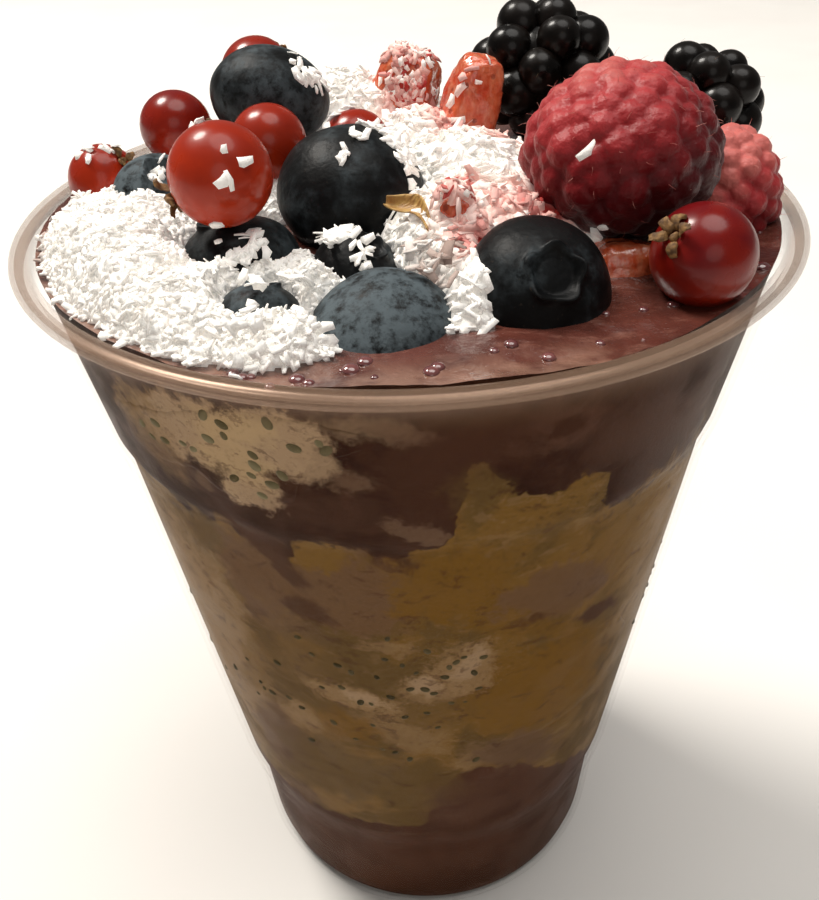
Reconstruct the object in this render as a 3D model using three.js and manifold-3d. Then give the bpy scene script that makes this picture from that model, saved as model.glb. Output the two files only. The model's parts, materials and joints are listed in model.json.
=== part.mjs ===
import * as THREE from 'three';
import { mergeVertices } from 'three/addons/utils/BufferGeometryUtils.js';
import Module from 'manifold-3d';

// Clear plastic tumbler filled to the brim with layers of acai, chia pudding and mango,
// and heaped with berries, strawberry pieces and shredded coconut.
// Millimetres, z up, origin at the centre of the foot. The side with the most fruit faces -y.

// Tumbler
const cupHeight = 115;
const rimRadius = 49;
const wall = 0.6;
const flats = 24;
const foot = { ringInner: 25.6, corner: 3, radius: 30.3 };
const base = { edge: 2.6, middle: 4.2, domeRadius: 24.6 };
const lowerStep = { bottom: 19.8, bottomRadius: 31.5, top: 24.7, topRadius: 33 };
const shoulder = { bottom: 90.2, bottomRadius: 41.1, top: 92.2, topRadius: 42.1 };
const neck = { height: 110.8, radius: 45.3 };
const curl = { width: 3.7, height: 3, endAngle: -100, steps: 4 };

// Filling
const gap = 0.3;
const surfaceHeight = 113.4;
const surfaceWave = 0.3;
const heapFloor = 114.1;
const wallFade = 0.45;

// What each boundary between two layers does round the wall: bumps of a given rise, width and bearing
// in degrees, where bearing 0 faces -y and 90 faces +x.
const baseTop = {
  level: 26,
  bumps: [
    { at: 22, width: 24, rise: 15 },
    { at: 128, width: 26, rise: 7 },
    { at: 205, width: 30, rise: 12 },
    { at: 278, width: 22, rise: 5 },
  ],
};
const puddingTop = {
  level: 73,
  bumps: [
    { at: 42, width: 26, rise: -6 },
    { at: 312, width: 22, rise: 9 },
    { at: 180, width: 40, rise: -8 },
    { at: 100, width: 20, rise: 5 },
  ],
};
const mangoTop = {
  level: 90,
  bumps: [
    { at: 8, width: 7, rise: 11 },
    { at: 24, width: 9, rise: 8 },
    { at: 75, width: 28, rise: -4 },
    { at: 150, width: 24, rise: 6 },
    { at: 230, width: 30, rise: -5 },
  ],
};

// Pudding patch high on the wall and mango patch low on it: bearing, height, and half sizes
// round the wall, up it and into the food.
const puddingPocket = { bearing: -23, height: 103, around: 15, up: 7.2, deep: 9, lean: -8 };
const mangoPocket = { bearing: 31, height: 55, around: 12, up: 13, deep: 9, lean: 6 };

// Fruit, each with the place of its middle, its radius and its height over its width
const blueberries = [
  { at: [-6.5, -7.3, 117.6], radius: 8.8, squash: 0.86, tilt: [192, 8] },
  { at: [-18, 15.6, 123.3], radius: 8.2, squash: 0.8, tilt: [166, 10] },
  { at: [-2.5, -33.4, 112.6], radius: 7.8, squash: 0.8, tilt: [200, -12] },
  { at: [13, -28, 113.9], radius: 7.8, squash: 0.86, tilt: [48, 14] },
  { at: [-19.3, -15.8, 111.6], radius: 7.4, squash: 0.84, tilt: [-10, -16] },
  { at: [-30.8, -2.4, 116], radius: 5.6, squash: 0.95, tilt: [30, 20] },
  { at: [-5.5, -20.4, 112.2], radius: 5.2, squash: 0.84, tilt: [16, 26] },
  { at: [-16.2, -30.6, 112.4], radius: 5.9, squash: 0.84, tilt: [-24, 8] },
];
const redcurrants = [
  { at: [-21.4, 28.8, 123.3], radius: 5.3, calyx: [150, 20] },
  { at: [-32.1, 18.2, 119], radius: 5, calyx: [80, -8] },
  { at: [-39.6, 5.4, 116.1], radius: 4.6, calyx: [70, 38] },
  { at: [-19.3, -18.9, 124.3], radius: 5.5, calyx: [-95, -22] },
  { at: [-17, 2.4, 121], radius: 4.8, calyx: [160, -50] },
  { at: [-6.3, 8, 118.6], radius: 4.6, calyx: [20, -60] },
  { at: [29.4, -28.6, 117.5], radius: 5.3, calyx: [-62, 34] },
];
const raspberries = [
  { at: [23.8, -13.2, 123.4], radius: 11.1, length: 0.84, tilt: [-8, 6, 20], drupelets: 62, bump: 0.1 },
  { at: [38.3, -6.6, 116.8], radius: 6.3, length: 1.24, tilt: [14, -12, 40], drupelets: 54, bump: 0.1 },
];
const brambles = [
  { at: [20.5, 25.3, 123.6], radius: 9.8, length: 0.94, tilt: [10, -8, 15], drupelets: 30, bump: 0.2 },
  { at: [39.6, 11.4, 121.3], radius: 8, length: 0.96, tilt: [-6, 20, 70], drupelets: 28, bump: 0.2 },
];
const strawberryPieces = [
  { at: [9.4, 14.3, 121.9], half: [4.2, 3.8, 6.2], turn: [10, 14, 20], taper: 0.3 },
  { at: [0.6, 25.8, 121.2], half: [5.2, 4.4, 5.4], turn: [-8, 20, -25], taper: 0.25 },
  { at: [23.5, -21.4, 113.6], half: [4.4, 3.6, 2.4], turn: [-14, 4, 10], taper: 0.2 },
  { at: [5.1, -20, 120.6], half: [2.4, 2.1, 1.8], turn: [20, 12, 50], taper: 0.2 },
];

// Coconut heaps, each of mounds with a place, two half widths and a height above the acai
const coconutHeaps = {
  coconut_left: [
    { at: [-34, -12], half: [10, 12], rise: 5.4 },
    { at: [-28, -22], half: [13, 12], rise: 6.4 },
    { at: [-19, -33.5], half: [14, 9], rise: 5 },
    { at: [-30, 2], half: [9, 10], rise: 4.6 },
    { at: [-14, -22], half: [9, 8], rise: 5 },
    { at: [-17, 2], half: [9, 7], rise: 3.6 },
  ],
  coconut_centre: [
    { at: [4, -27], half: [7, 10], rise: 4.8 },
    { at: [9, -16], half: [12.5, 10], rise: 7.4 },
    { at: [8, -1], half: [12, 11], rise: 8 },
    { at: [2, 13], half: [11, 8], rise: 7.4 },
  ],
  coconut_rear: [
    { at: [-8, 26], half: [11, 9], rise: 10 },
    { at: [-6, 33], half: [15, 8], rise: 7.4 },
    { at: [-19, 23], half: [9, 11], rise: 5.2 },
  ],
};

const wasm = await Module();
wasm.setup();

// Turns a geometry into a solid that can be cut and joined.
function solidOf(geometry) {
  const bare = geometry.clone();
  bare.deleteAttribute('normal');
  bare.deleteAttribute('uv');
  const merged = mergeVertices(bare, 1e-4);
  const mesh = new wasm.Mesh({
    numProp: 3,
    vertProperties: merged.attributes.position.array,
    triVerts: merged.index.array,
  });
  return new wasm.Manifold(mesh);
}

function geometryOf(solid) {
  const mesh = solid.getMesh();
  const geometry = new THREE.BufferGeometry();
  geometry.setAttribute('position', new THREE.BufferAttribute(mesh.vertProperties, 3));
  geometry.setIndex(new THREE.BufferAttribute(mesh.triVerts, 1));
  geometry.computeVertexNormals();
  return geometry;
}

// A cut can leave crumbs beside the piece: the largest body is the piece.
function largest(solid) {
  return solid.decompose().reduce((a, b) => (a.volume() > b.volume() ? a : b));
}

// Revolves [radius, height] points about the z axis.
function turned(points, segments = flats) {
  const profile = points.map(([r, z]) => new THREE.Vector2(r, z));
  return new THREE.LatheGeometry(profile, segments).rotateX(Math.PI / 2);
}

const radians = THREE.MathUtils.degToRad;

// Outer line of the tumbler from the middle of its base round the foot and up to the neck
function outerLine() {
  const corner = [0, 45, 90].map((angle) => [
    foot.radius - foot.corner + foot.corner * Math.sin(radians(angle)),
    foot.corner - foot.corner * Math.cos(radians(angle)),
  ]);
  return [
    [0, base.middle],
    [base.domeRadius, base.edge],
    [foot.ringInner, 0],
    ...corner,
    [lowerStep.bottomRadius, lowerStep.bottom],
    [lowerStep.topRadius, lowerStep.top],
    [shoulder.bottomRadius, shoulder.bottom],
    [shoulder.topRadius, shoulder.top],
    [neck.radius, neck.height],
  ];
}

// Moves a line inwards, to its left as it is drawn, by a distance.
function inwards(line, distance) {
  return line.map(([r, z], i) => {
    const before = line[Math.max(i - 1, 0)];
    const after = line[Math.min(i + 1, line.length - 1)];
    const a = new THREE.Vector2(r - before[0], z - before[1]).normalize();
    const b = new THREE.Vector2(after[0] - r, after[1] - z).normalize();
    const along = a.clone().add(b).normalize();
    const share = Math.max(0.6, along.dot(i ? a : b));
    const moved = [r - (along.y * distance) / share, z + (along.x * distance) / share];
    return i ? moved : [0, z + distance];
  });
}

// Half of the rolled rim, an ellipse about the curl's middle, from the wall over the top to the outer end
function curlLine(thickness) {
  const middle = [rimRadius - curl.width / 2, cupHeight - curl.height / 2];
  const line = [];
  for (let i = 0; i <= curl.steps; i++) {
    const angle = radians(180 + ((curl.endAngle - 180) * i) / curl.steps);
    line.push([
      middle[0] + (curl.width / 2 - thickness) * Math.cos(angle),
      middle[1] + (curl.height / 2 - thickness) * Math.sin(angle),
    ]);
  }
  return line;
}

function cupGeometry() {
  const outer = outerLine();
  const inner = inwards(outer, wall).reverse();
  const profile = [...outer, ...curlLine(wall), ...curlLine(0).reverse(), ...inner];
  return turned(profile);
}

// All the room for food inside the tumbler, a little clear of its wall
function fillingSolid() {
  const line = inwards(outerLine(), wall + gap);
  const top = curlLine(-gap)[0];
  return solidOf(turned([...line, top, [top[0], cupHeight], [0, cupHeight]]));
}

// The shortest way between two bearings, in degrees
function turnBetween(a, b) {
  return ((((a - b + 180) % 360) + 360) % 360) - 180;
}

function boundaryHeight(boundary, x, y) {
  const bearing = THREE.MathUtils.radToDeg(Math.atan2(x, -y));
  const rise = boundary.bumps.reduce((sum, bump) => {
    const away = turnBetween(bearing, bump.at) / bump.width;
    return sum + bump.rise * Math.exp(-away * away);
  }, 0);
  const outwards = Math.min(1, Math.hypot(x, y) / rimRadius / wallFade);
  return boundary.level + rise * outwards ** 2;
}

function surfaceAt(x, y) {
  return surfaceHeight + surfaceWave * Math.sin(0.16 * x + 1) * Math.cos(0.14 * y - 0.4);
}

// A slab wider than the tumbler, between two height functions
function slab(bottomAt, topAt) {
  const columns = flats;
  const rings = [0, 20, 54];
  const positions = [];
  const index = [];
  const side = (heightAt) => {
    const first = positions.length / 3;
    positions.push(0, 0, heightAt(0, 0));
    for (const r of rings.slice(1)) {
      for (let i = 0; i < columns; i++) {
        const angle = (i / columns) * 2 * Math.PI;
        const x = r * Math.cos(angle);
        const y = r * Math.sin(angle);
        positions.push(x, y, heightAt(x, y));
      }
    }
    return first;
  };
  const top = side(topAt);
  const bottom = side(bottomAt);
  const at = (first, ring, i) => (ring ? first + 1 + (ring - 1) * columns + (i % columns) : first);
  for (let ring = 0; ring < rings.length - 1; ring++) {
    for (let i = 0; i < columns; i++) {
      for (const [first, flip] of [[top, false], [bottom, true]]) {
        const a = at(first, ring, i);
        const b = at(first, ring + 1, i);
        const c = at(first, ring + 1, i + 1);
        const d = at(first, ring, i + 1);
        index.push(...(flip ? [a, c, b] : [a, b, c]));
        if (ring) index.push(...(flip ? [a, d, c] : [a, c, d]));
      }
    }
  }
  const edge = rings.length - 1;
  for (let i = 0; i < columns; i++) {
    const a = at(top, edge, i);
    const b = at(bottom, edge, i);
    const c = at(bottom, edge, i + 1);
    const d = at(top, edge, i + 1);
    index.push(a, b, c, a, c, d);
  }
  const geometry = new THREE.BufferGeometry();
  geometry.setAttribute('position', new THREE.Float32BufferAttribute(positions, 3));
  geometry.setIndex(index);
  return solidOf(geometry);
}

function layerBetween(filling, below, above) {
  const bottomAt = below ? (x, y) => boundaryHeight(below, x, y) + gap / 2 : () => -1;
  const topAt = above ? (x, y) => boundaryHeight(above, x, y) - gap / 2 : surfaceAt;
  return filling.intersect(slab(bottomAt, topAt));
}

// A rounded blob against the wall, grown by an extra margin where it cuts its neighbours
function pocketBlob(pocket, margin) {
  const radius = THREE.MathUtils.lerp(foot.radius, neck.radius, pocket.height / neck.height);
  const shape = new THREE.IcosahedronGeometry(1, 2)
    .scale(pocket.around + margin, pocket.deep + margin, pocket.up + margin)
    .rotateY(radians(pocket.lean))
    .translate(0, -radius, pocket.height)
    .rotateZ(radians(pocket.bearing));
  return solidOf(shape);
}

// A berry turned from a half outline: round, with a crown rim round a small hollow on top
function crownedBerry({ at, radius, squash, tilt }, margin = 0) {
  const full = radius + margin;
  const profile = [];
  const steps = 5;
  const crownAngle = 66;
  for (let i = 0; i <= steps; i++) {
    const angle = radians(-90 + ((90 + crownAngle) * i) / steps);
    profile.push([i ? full * Math.cos(angle) : 0, full * squash * Math.sin(angle)]);
  }
  const rim = profile[profile.length - 1];
  profile.push([rim[0] * 0.8, rim[1] + 0.05 * radius]);
  profile.push([rim[0] * 0.6, rim[1] - 0.03 * radius]);
  profile.push([0, rim[1] - 0.04 * radius]);
  return turned(profile, 9)
    .rotateX(radians(tilt[0]))
    .rotateY(radians(tilt[1]))
    .translate(...at);
}

// A round berry with the small dried tuft that its flower leaves, pointing to a bearing and a height angle
function tuftedBerry({ at, radius, calyx }, margin = 0) {
  const full = radius + margin;
  const profile = [];
  const steps = 5;
  for (let i = 0; i <= steps; i++) {
    const angle = radians(-90 + (164 * i) / steps);
    profile.push([i ? full * Math.cos(angle) : 0, full * Math.sin(angle)]);
  }
  profile.push([full * 0.2, full * 1.16]);
  profile.push([0, full * 1.12]);
  return turned(profile, 9)
    .rotateX(radians(90 - calyx[1]))
    .rotateZ(radians(calyx[0]))
    .translate(...at);
}

// A berry of many small drupelets, set in a spiral over an egg that is narrower at its tip
function clusterBerry({ at, radius, length, tilt, drupelets, bump }, margin = 0) {
  const middles = [];
  for (let i = 0; i < drupelets; i++) {
    const height = 1 - (2 * (i + 0.5)) / drupelets;
    const angle = i * Math.PI * (3 - Math.sqrt(5));
    const across = Math.sqrt(1 - height * height);
    middles.push(new THREE.Vector3(across * Math.cos(angle), across * Math.sin(angle), height));
  }
  const reach = Math.sqrt(4 / drupelets) * 1.15;
  const shape = new THREE.IcosahedronGeometry(1, 3);
  const position = shape.attributes.position;
  const point = new THREE.Vector3();
  for (let i = 0; i < position.count; i++) {
    point.fromBufferAttribute(position, i).normalize();
    const nearest = Math.min(...middles.map((m) => m.distanceTo(point)));
    const dome = Math.sqrt(Math.max(0, 1 - (nearest / reach) ** 2));
    const size = (radius * (1 - bump + bump * dome)) * (1 - 0.08 * point.z) + margin;
    position.setXYZ(i, point.x * size, point.y * size, point.z * size * length);
  }
  return shape
    .rotateX(radians(tilt[0]))
    .rotateY(radians(tilt[1]))
    .rotateZ(radians(tilt[2]))
    .translate(...at);
}

// A cut piece of fruit: a block with soft corners, narrower towards its top
function cutPiece({ at, half, turn, taper }, margin = 0) {
  const roundness = 4;
  const shape = new THREE.IcosahedronGeometry(1, 1);
  const position = shape.attributes.position;
  const point = new THREE.Vector3();
  for (let i = 0; i < position.count; i++) {
    point.fromBufferAttribute(position, i);
    const powers = ['x', 'y', 'z'].map((axis) => Math.abs(point[axis]) ** roundness);
    point.multiplyScalar((powers[0] + powers[1] + powers[2]) ** (-1 / roundness));
    const narrow = 1 - taper * (point.z + 1) * 0.5;
    position.setXYZ(
      i,
      point.x * (half[0] + margin) * narrow,
      point.y * (half[1] + margin) * narrow,
      point.z * (half[2] + margin)
    );
  }
  return shape
    .rotateX(radians(turn[0]))
    .rotateY(radians(turn[1]))
    .rotateZ(radians(turn[2]))
    .translate(...at);
}

// A low mound on the heap's floor, with an uneven outline
function mound({ at, half, rise }, number, margin = 0) {
  const profile = [0, 42].map((angle) => [Math.cos(radians(angle)), Math.sin(radians(angle))]);
  const shape = turned([[0, 0], ...profile, [0, 1]], 10);
  const position = shape.attributes.position;
  for (let i = 0; i < position.count; i++) {
    const x = position.getX(i);
    const y = position.getY(i);
    const angle = Math.atan2(y, x);
    const uneven = 1 + 0.07 * Math.sin(3 * angle + number) + 0.05 * Math.sin(5 * angle + 2 * number);
    position.setXYZ(
      i,
      x * (half[0] + margin) * uneven,
      y * (half[1] + margin) * uneven,
      position.getZ(i) * (rise + margin)
    );
  }
  return solidOf(shape.translate(at[0], at[1], heapFloor));
}

const finishes = {
  plastic: { color: 0xe9e4dc, roughness: 0.08, metalness: 0, transparent: true, opacity: 0.35 },
  acai: { color: 0x43231c, roughness: 0.45, metalness: 0 },
  pudding: { color: 0xa58b6a, roughness: 0.5, metalness: 0 },
  mango: { color: 0xa2702a, roughness: 0.4, metalness: 0 },
  blueberry: { color: 0x262b33, roughness: 0.5, metalness: 0 },
  redcurrant: { color: 0x8c1a12, roughness: 0.15, metalness: 0 },
  raspberry: { color: 0x8c1f2b, roughness: 0.4, metalness: 0 },
  bramble: { color: 0x14100f, roughness: 0.2, metalness: 0 },
  strawberry: { color: 0xb2401f, roughness: 0.25, metalness: 0 },
  coconut: { color: 0xf3efe6, roughness: 0.85, metalness: 0 },
};
const materials = Object.fromEntries(
  Object.entries(finishes).map(([name, finish]) => [name, new THREE.MeshStandardMaterial(finish)])
);

const group = new THREE.Group();

function addNode(name, geometry, finish) {
  const mesh = new THREE.Mesh(geometry, materials[finish]);
  mesh.name = name;
  group.add(mesh);
}

addNode('cup', cupGeometry(), 'plastic');

// Fruit first: each piece is added as it is, and a slightly larger copy cuts its bed.
const fruitKinds = [
  ['blueberry', blueberries, crownedBerry],
  ['redcurrant', redcurrants, tuftedBerry],
  ['raspberry', raspberries, clusterBerry],
  ['bramble', brambles, clusterBerry],
  ['strawberry', strawberryPieces, cutPiece],
];
const beds = [];
for (const [kind, list, shapeOf] of fruitKinds) {
  list.forEach((fruit, i) => {
    addNode(`${kind}_${i + 1}`, shapeOf(fruit), kind);
    beds.push(solidOf(shapeOf(fruit, gap)));
  });
}

const filling = fillingSolid();
const patchInPudding = filling.intersect(pocketBlob(mangoPocket, 0));
const patchInAcai = filling.intersect(pocketBlob(puddingPocket, 0));
const acaiBase = layerBetween(filling, null, baseTop);
const pudding = layerBetween(filling, baseTop, puddingTop).subtract(pocketBlob(mangoPocket, gap));
const mango = layerBetween(filling, puddingTop, mangoTop).subtract(pocketBlob(mangoPocket, gap));
const acaiTop = beds.reduce(
  (food, bed) => food.subtract(bed),
  layerBetween(filling, mangoTop, null).subtract(pocketBlob(puddingPocket, gap))
);
addNode('acai_base', geometryOf(acaiBase), 'acai');
addNode('pudding_layer', geometryOf(largest(pudding)), 'pudding');
addNode('mango_layer', geometryOf(largest(mango)), 'mango');
addNode('acai_top', geometryOf(largest(acaiTop)), 'acai');
addNode('pudding_patch', geometryOf(patchInAcai), 'pudding');
addNode('mango_patch', geometryOf(patchInPudding), 'mango');

// Each heap keeps clear of the rim, of the fruit in it and of the heaps before it.
const rimClear = rimRadius - curl.width - gap;
const inRim = solidOf(turned([[0, 0], [rimClear, 0], [rimClear, 2 * cupHeight], [0, 2 * cupHeight]]));
const heapOf = (mounds, margin) => mounds.map((m, i) => mound(m, i, margin)).reduce((a, b) => a.add(b));
const taken = [];
for (const [name, mounds] of Object.entries(coconutHeaps)) {
  const inside = heapOf(mounds, 0).intersect(inRim);
  const cut = [...beds, ...taken].reduce((a, b) => a.subtract(b), inside);
  addNode(name, geometryOf(largest(cut)), 'coconut');
  taken.push(heapOf(mounds, 2 * gap));
}

export default group;
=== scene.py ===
import json
import math
import random

import bpy
import numpy as np
from mathutils import Matrix, Vector, noise
from mathutils.bvhtree import BVHTree

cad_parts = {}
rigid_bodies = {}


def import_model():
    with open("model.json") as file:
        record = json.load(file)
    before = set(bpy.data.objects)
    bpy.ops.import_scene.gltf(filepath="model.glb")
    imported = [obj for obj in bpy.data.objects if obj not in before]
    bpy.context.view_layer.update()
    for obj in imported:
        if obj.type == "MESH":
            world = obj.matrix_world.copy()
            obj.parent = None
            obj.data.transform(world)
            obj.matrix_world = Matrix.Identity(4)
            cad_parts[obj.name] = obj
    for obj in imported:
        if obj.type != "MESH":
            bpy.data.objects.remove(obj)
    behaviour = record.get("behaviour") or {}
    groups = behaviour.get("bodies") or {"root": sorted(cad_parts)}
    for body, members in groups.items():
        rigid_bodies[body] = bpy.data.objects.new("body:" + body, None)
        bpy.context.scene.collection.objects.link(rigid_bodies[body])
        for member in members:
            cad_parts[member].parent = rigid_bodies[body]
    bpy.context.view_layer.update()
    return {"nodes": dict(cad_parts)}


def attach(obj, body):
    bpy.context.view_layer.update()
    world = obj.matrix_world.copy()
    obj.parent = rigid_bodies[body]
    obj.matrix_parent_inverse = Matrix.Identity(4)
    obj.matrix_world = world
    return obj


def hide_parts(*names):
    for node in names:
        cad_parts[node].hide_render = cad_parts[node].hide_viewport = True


# Clear tumbler of acai, chia pudding and mango under berries, strawberry pieces and shredded coconut.
# The camera and the lights come first, then the cup, its filling, the fruit and the coconut.
# Pieces are modelled in millimetres, like the drawing of the part, and settled in metres when done.

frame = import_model()
bpy.ops.object.select_all(action="DESELECT")
scene = bpy.context.scene
mm = 0.001
print("frame loaded,", len(frame["nodes"]), "nodes")


# Camera: where the photo was taken from, tipped down and leaning a little to one side
cameraSet = {
    "place": (0, -113 * mm, 155.7 * mm),
    "pitch": 34.5,
    "roll": -2.37,
    "yaw": -0.4,
    "lens": 36.52,
    "sensor": 36,
    "shiftY": -0.0222,
}


def makeCamera(values):
    pitch, roll, yaw = (math.radians(values[k]) for k in ("pitch", "roll", "yaw"))
    ahead = Vector((math.sin(yaw) * math.cos(pitch), math.cos(yaw) * math.cos(pitch), -math.sin(pitch)))
    level = Vector((math.cos(yaw), -math.sin(yaw), 0))
    right = math.cos(roll) * level + math.sin(roll) * level.cross(ahead)
    up = right.cross(ahead)
    bpy.ops.object.camera_add(location=values["place"])
    camera = bpy.context.object
    camera.name = "photoCamera"
    turn = Matrix((right, up, -ahead)).transposed().to_4x4()
    camera.matrix_world = Matrix.Translation(values["place"]) @ turn
    camera.data.lens = values["lens"]
    camera.data.sensor_width = values["sensor"]
    camera.data.shift_y = values["shiftY"]
    camera.data.clip_start = 0.005
    scene.camera = camera


makeCamera(cameraSet)


# Lights: one soft key from above and behind on the left, a weak fill, and a pale sky
lightSet = [
    {"name": "keyLight", "place": (-0.84, 0.66, 1.66), "size": 0.62, "watts": 38, "tint": (1, 0.95, 0.88)},
    {"name": "topLight", "place": (0.3, 0.06, 1.9), "size": 1.4, "watts": 21, "tint": (1, 0.97, 0.93)},
    {"name": "fillLight", "place": (0.25, -1.75, 1.0), "size": 1.2, "watts": 4, "tint": (1, 0.95, 0.9)},
]
skyTint = (1, 0.965, 0.92, 1)
skyStrength = 0.14


def makeLights():
    for values in lightSet:
        bpy.ops.object.light_add(type="AREA", location=values["place"])
        light = bpy.context.object
        light.name = values["name"]
        light.data.shape = "DISK"
        light.data.size = values["size"]
        light.data.energy = values["watts"]
        light.data.color = values["tint"]
        aim = Vector((0, 0, 0.1)) - Vector(values["place"])
        light.rotation_euler = aim.to_track_quat("-Z", "Y").to_euler()
    world = bpy.data.worlds.new("paleSky")
    scene.world = world
    world.use_nodes = True
    background = world.node_tree.nodes["Background"]
    background.inputs["Color"].default_value = skyTint
    background.inputs["Strength"].default_value = skyStrength
    scene.view_settings.view_transform = "Standard"


makeLights()
print("camera and lights set")


# Small helpers for modelling by hand in code
def added(name):
    piece = bpy.context.object
    piece.name = name
    piece.data.name = name
    return piece


def only(piece):
    bpy.ops.object.select_all(action="DESELECT")
    piece.select_set(True)
    bpy.context.view_layer.objects.active = piece


def pick(piece, kind, test):
    # leaves the piece in edit mode with the vertices or faces selected for which the test holds
    only(piece)
    bpy.ops.object.mode_set(mode="EDIT")
    bpy.ops.mesh.select_mode(type=kind)
    bpy.ops.mesh.select_all(action="DESELECT")
    bpy.ops.object.mode_set(mode="OBJECT")
    for item in piece.data.polygons if kind == "FACE" else piece.data.vertices:
        item.select = bool(test(item))
    bpy.ops.object.mode_set(mode="EDIT")


def done():
    bpy.ops.object.mode_set(mode="OBJECT")


def finishWith(piece, kind, **settings):
    only(piece)
    modifier = piece.modifiers.new(kind, kind)
    for name, value in settings.items():
        setattr(modifier, name, value)
    bpy.ops.object.modifier_apply(modifier=modifier.name)


def softened(piece, levels):
    finishWith(piece, "SUBSURF", levels=levels, render_levels=levels)


def roughen(piece, amount, size, seed=0):
    # moves each vertex along its normal by smooth noise of a given size in millimetres
    shift = Vector((seed * 7.1, seed * 3.7, seed * 5.3))
    normals = [v.normal.copy() for v in piece.data.vertices]
    for vertex, normal in zip(piece.data.vertices, normals):
        vertex.co += normal * amount * noise.noise(vertex.co / size + shift)


def shaded(piece, values):
    # a value for each vertex, which the piece's material reads
    piece.data.attributes.new("shade", "FLOAT", "POINT").data.foreach_set("value", values)


def facedOut(piece):
    pick(piece, "FACE", lambda f: True)
    bpy.ops.mesh.normals_make_consistent(inside=False)
    done()


def joined(name, pieces):
    bpy.ops.object.select_all(action="DESELECT")
    for piece in pieces:
        piece.select_set(True)
    bpy.context.view_layer.objects.active = pieces[0]
    bpy.ops.object.join()
    return added(name)


def repeated(name, source, places, shades=None):
    # one mesh of many copies of a small one, each copy with its own shade
    points = np.array([v.co for v in source.data.vertices])
    faces = [list(p.vertices) for p in source.data.polygons]
    copies = [points @ np.array(m.to_3x3()).T + np.array(m.translation) for m in places]
    corners = [[i + k * len(points) for i in face] for k in range(len(places)) for face in faces]
    mesh = bpy.data.meshes.new(name)
    mesh.from_pydata(np.concatenate(copies).tolist(), [], corners)
    piece = bpy.data.objects.new(name, mesh)
    scene.collection.objects.link(piece)
    if shades is not None:
        shaded(piece, np.repeat(np.array(shades, np.float32), len(points)))
    bpy.data.objects.remove(source)
    return piece


def settle(piece, materials, nodes=(), place=None):
    # the piece's place goes into its mesh, in metres, and the piece joins the frame
    piece.data.transform(Matrix.Scale(mm, 4) @ (place or Matrix()) @ piece.matrix_world)
    piece.matrix_world = Matrix()
    if materials:
        piece.data.materials.clear()
        for material in materials:
            piece.data.materials.append(material)
    piece.data.polygons.foreach_set("use_smooth", [True] * len(piece.data.polygons))
    piece.data.update()
    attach(piece, "root")
    if nodes:
        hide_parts(*nodes)


def smoothOver(piece, degrees):
    only(piece)
    bpy.ops.object.shade_smooth_by_angle(angle=math.radians(degrees))


def aimed(direction, spin):
    # turns +z to a direction
    return Vector(direction).to_track_quat("Z", "Y").to_matrix().to_4x4() @ Matrix.Rotation(spin, 4, "Z")


def placedAt(at, turn):
    # a place after turns in degrees about x, y and z
    place = Matrix.Translation(at)
    for angle, axis in zip(reversed(turn), "ZYX"):
        place = place @ Matrix.Rotation(math.radians(angle), 4, axis)
    return place


def roundFrom(bearing, radius, height):
    # the place at a bearing round the cup, where bearing 0 faces front
    angle = math.radians(bearing)
    return Vector((radius * math.sin(angle), -radius * math.cos(angle), height))


def unevenAt(x, y, seed, size):
    # smooth noise between -1 and 1 at a place seen from above
    return noise.noise(Vector((x, y, seed)) / size)


# Shader maths: a socket that can be added, multiplied and so on
class Wire:
    def __init__(self, tree, socket=None):
        self.tree = tree
        self.socket = socket

    def node(self, kind, settings=None, inputs=None, output=0):
        made = self.tree.nodes.new("ShaderNode" + kind)
        for name, value in (settings or {}).items():
            if name == "stops":
                ramp = made.color_ramp
                for position, colour in value[1:-1]:
                    ramp.elements.new(position)
                for element, (position, colour) in zip(ramp.elements, value):
                    element.position = position
                    element.color = colour
            else:
                setattr(made, name, value)
        for name, value in (inputs or {}).items():
            if isinstance(value, Wire):
                self.tree.links.new(value.socket, made.inputs[name])
            else:
                made.inputs[name].default_value = value
        return Wire(self.tree, made.outputs[output])

    def maths(self, operation, *values):
        return self.node("Math", {"operation": operation}, dict(enumerate(values)))

    def __add__(self, other):
        return self.maths("ADD", self, other)

    def __sub__(self, other):
        return self.maths("SUBTRACT", self, other)

    def __rsub__(self, other):
        return self.maths("SUBTRACT", other, self)

    def __mul__(self, other):
        return self.maths("MULTIPLY", self, other)

    __radd__ = __add__
    __rmul__ = __mul__

    def least(self, other):
        return self.maths("MINIMUM", self, other)

    def most(self, other):
        return self.maths("MAXIMUM", self, other)

    def between(self, low, high, top=1):
        values = {"Value": self, "From Min": low, "From Max": high, "To Max": top}
        return self.node("MapRange", {"interpolation_type": "SMOOTHSTEP"}, values)

    def mixed(self, under, over):
        # this wire is the share of the second colour
        under, over = (tint(c) if isinstance(c, str) else c for c in (under, over))
        return self.node("Mix", {"data_type": "RGBA"}, {0: self, 6: under, 7: over}, 2)

    def ramp(self, *stops):
        stops = [(position, tint(colour)) for position, colour in stops]
        return self.node("ValToRGB", {"stops": stops}, {"Fac": self})

    def shade(self):
        return self.node("Attribute", {"attribute_name": "shade"}, output=2)

    def parts(self):
        # x, y and z of a vector
        return [self.node("SeparateXYZ", inputs={0: self}, output=i) for i in range(3)]

    def fromAxis(self):
        x, y, z = self.parts()
        return self.maths("SQRT", x * x + y * y)

    def vector(self, operation, inputs, output=0):
        return self.node("VectorMath", {"operation": operation}, inputs, output)

    def place(self):
        # object coordinates in millimetres
        return self.vector("SCALE", {0: self.node("TexCoord", output=3), "Scale": 1 / mm})

    def noise(self, where, size, detail=3.0, roughness=0.5, stretch=(1, 1, 1)):
        turned = self.node("Mapping", inputs={"Vector": where, "Scale": stretch})
        values = {"Vector": turned, "Scale": 1 / size, "Detail": detail, "Roughness": roughness}
        return self.node("TexNoise", inputs=values)


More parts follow.
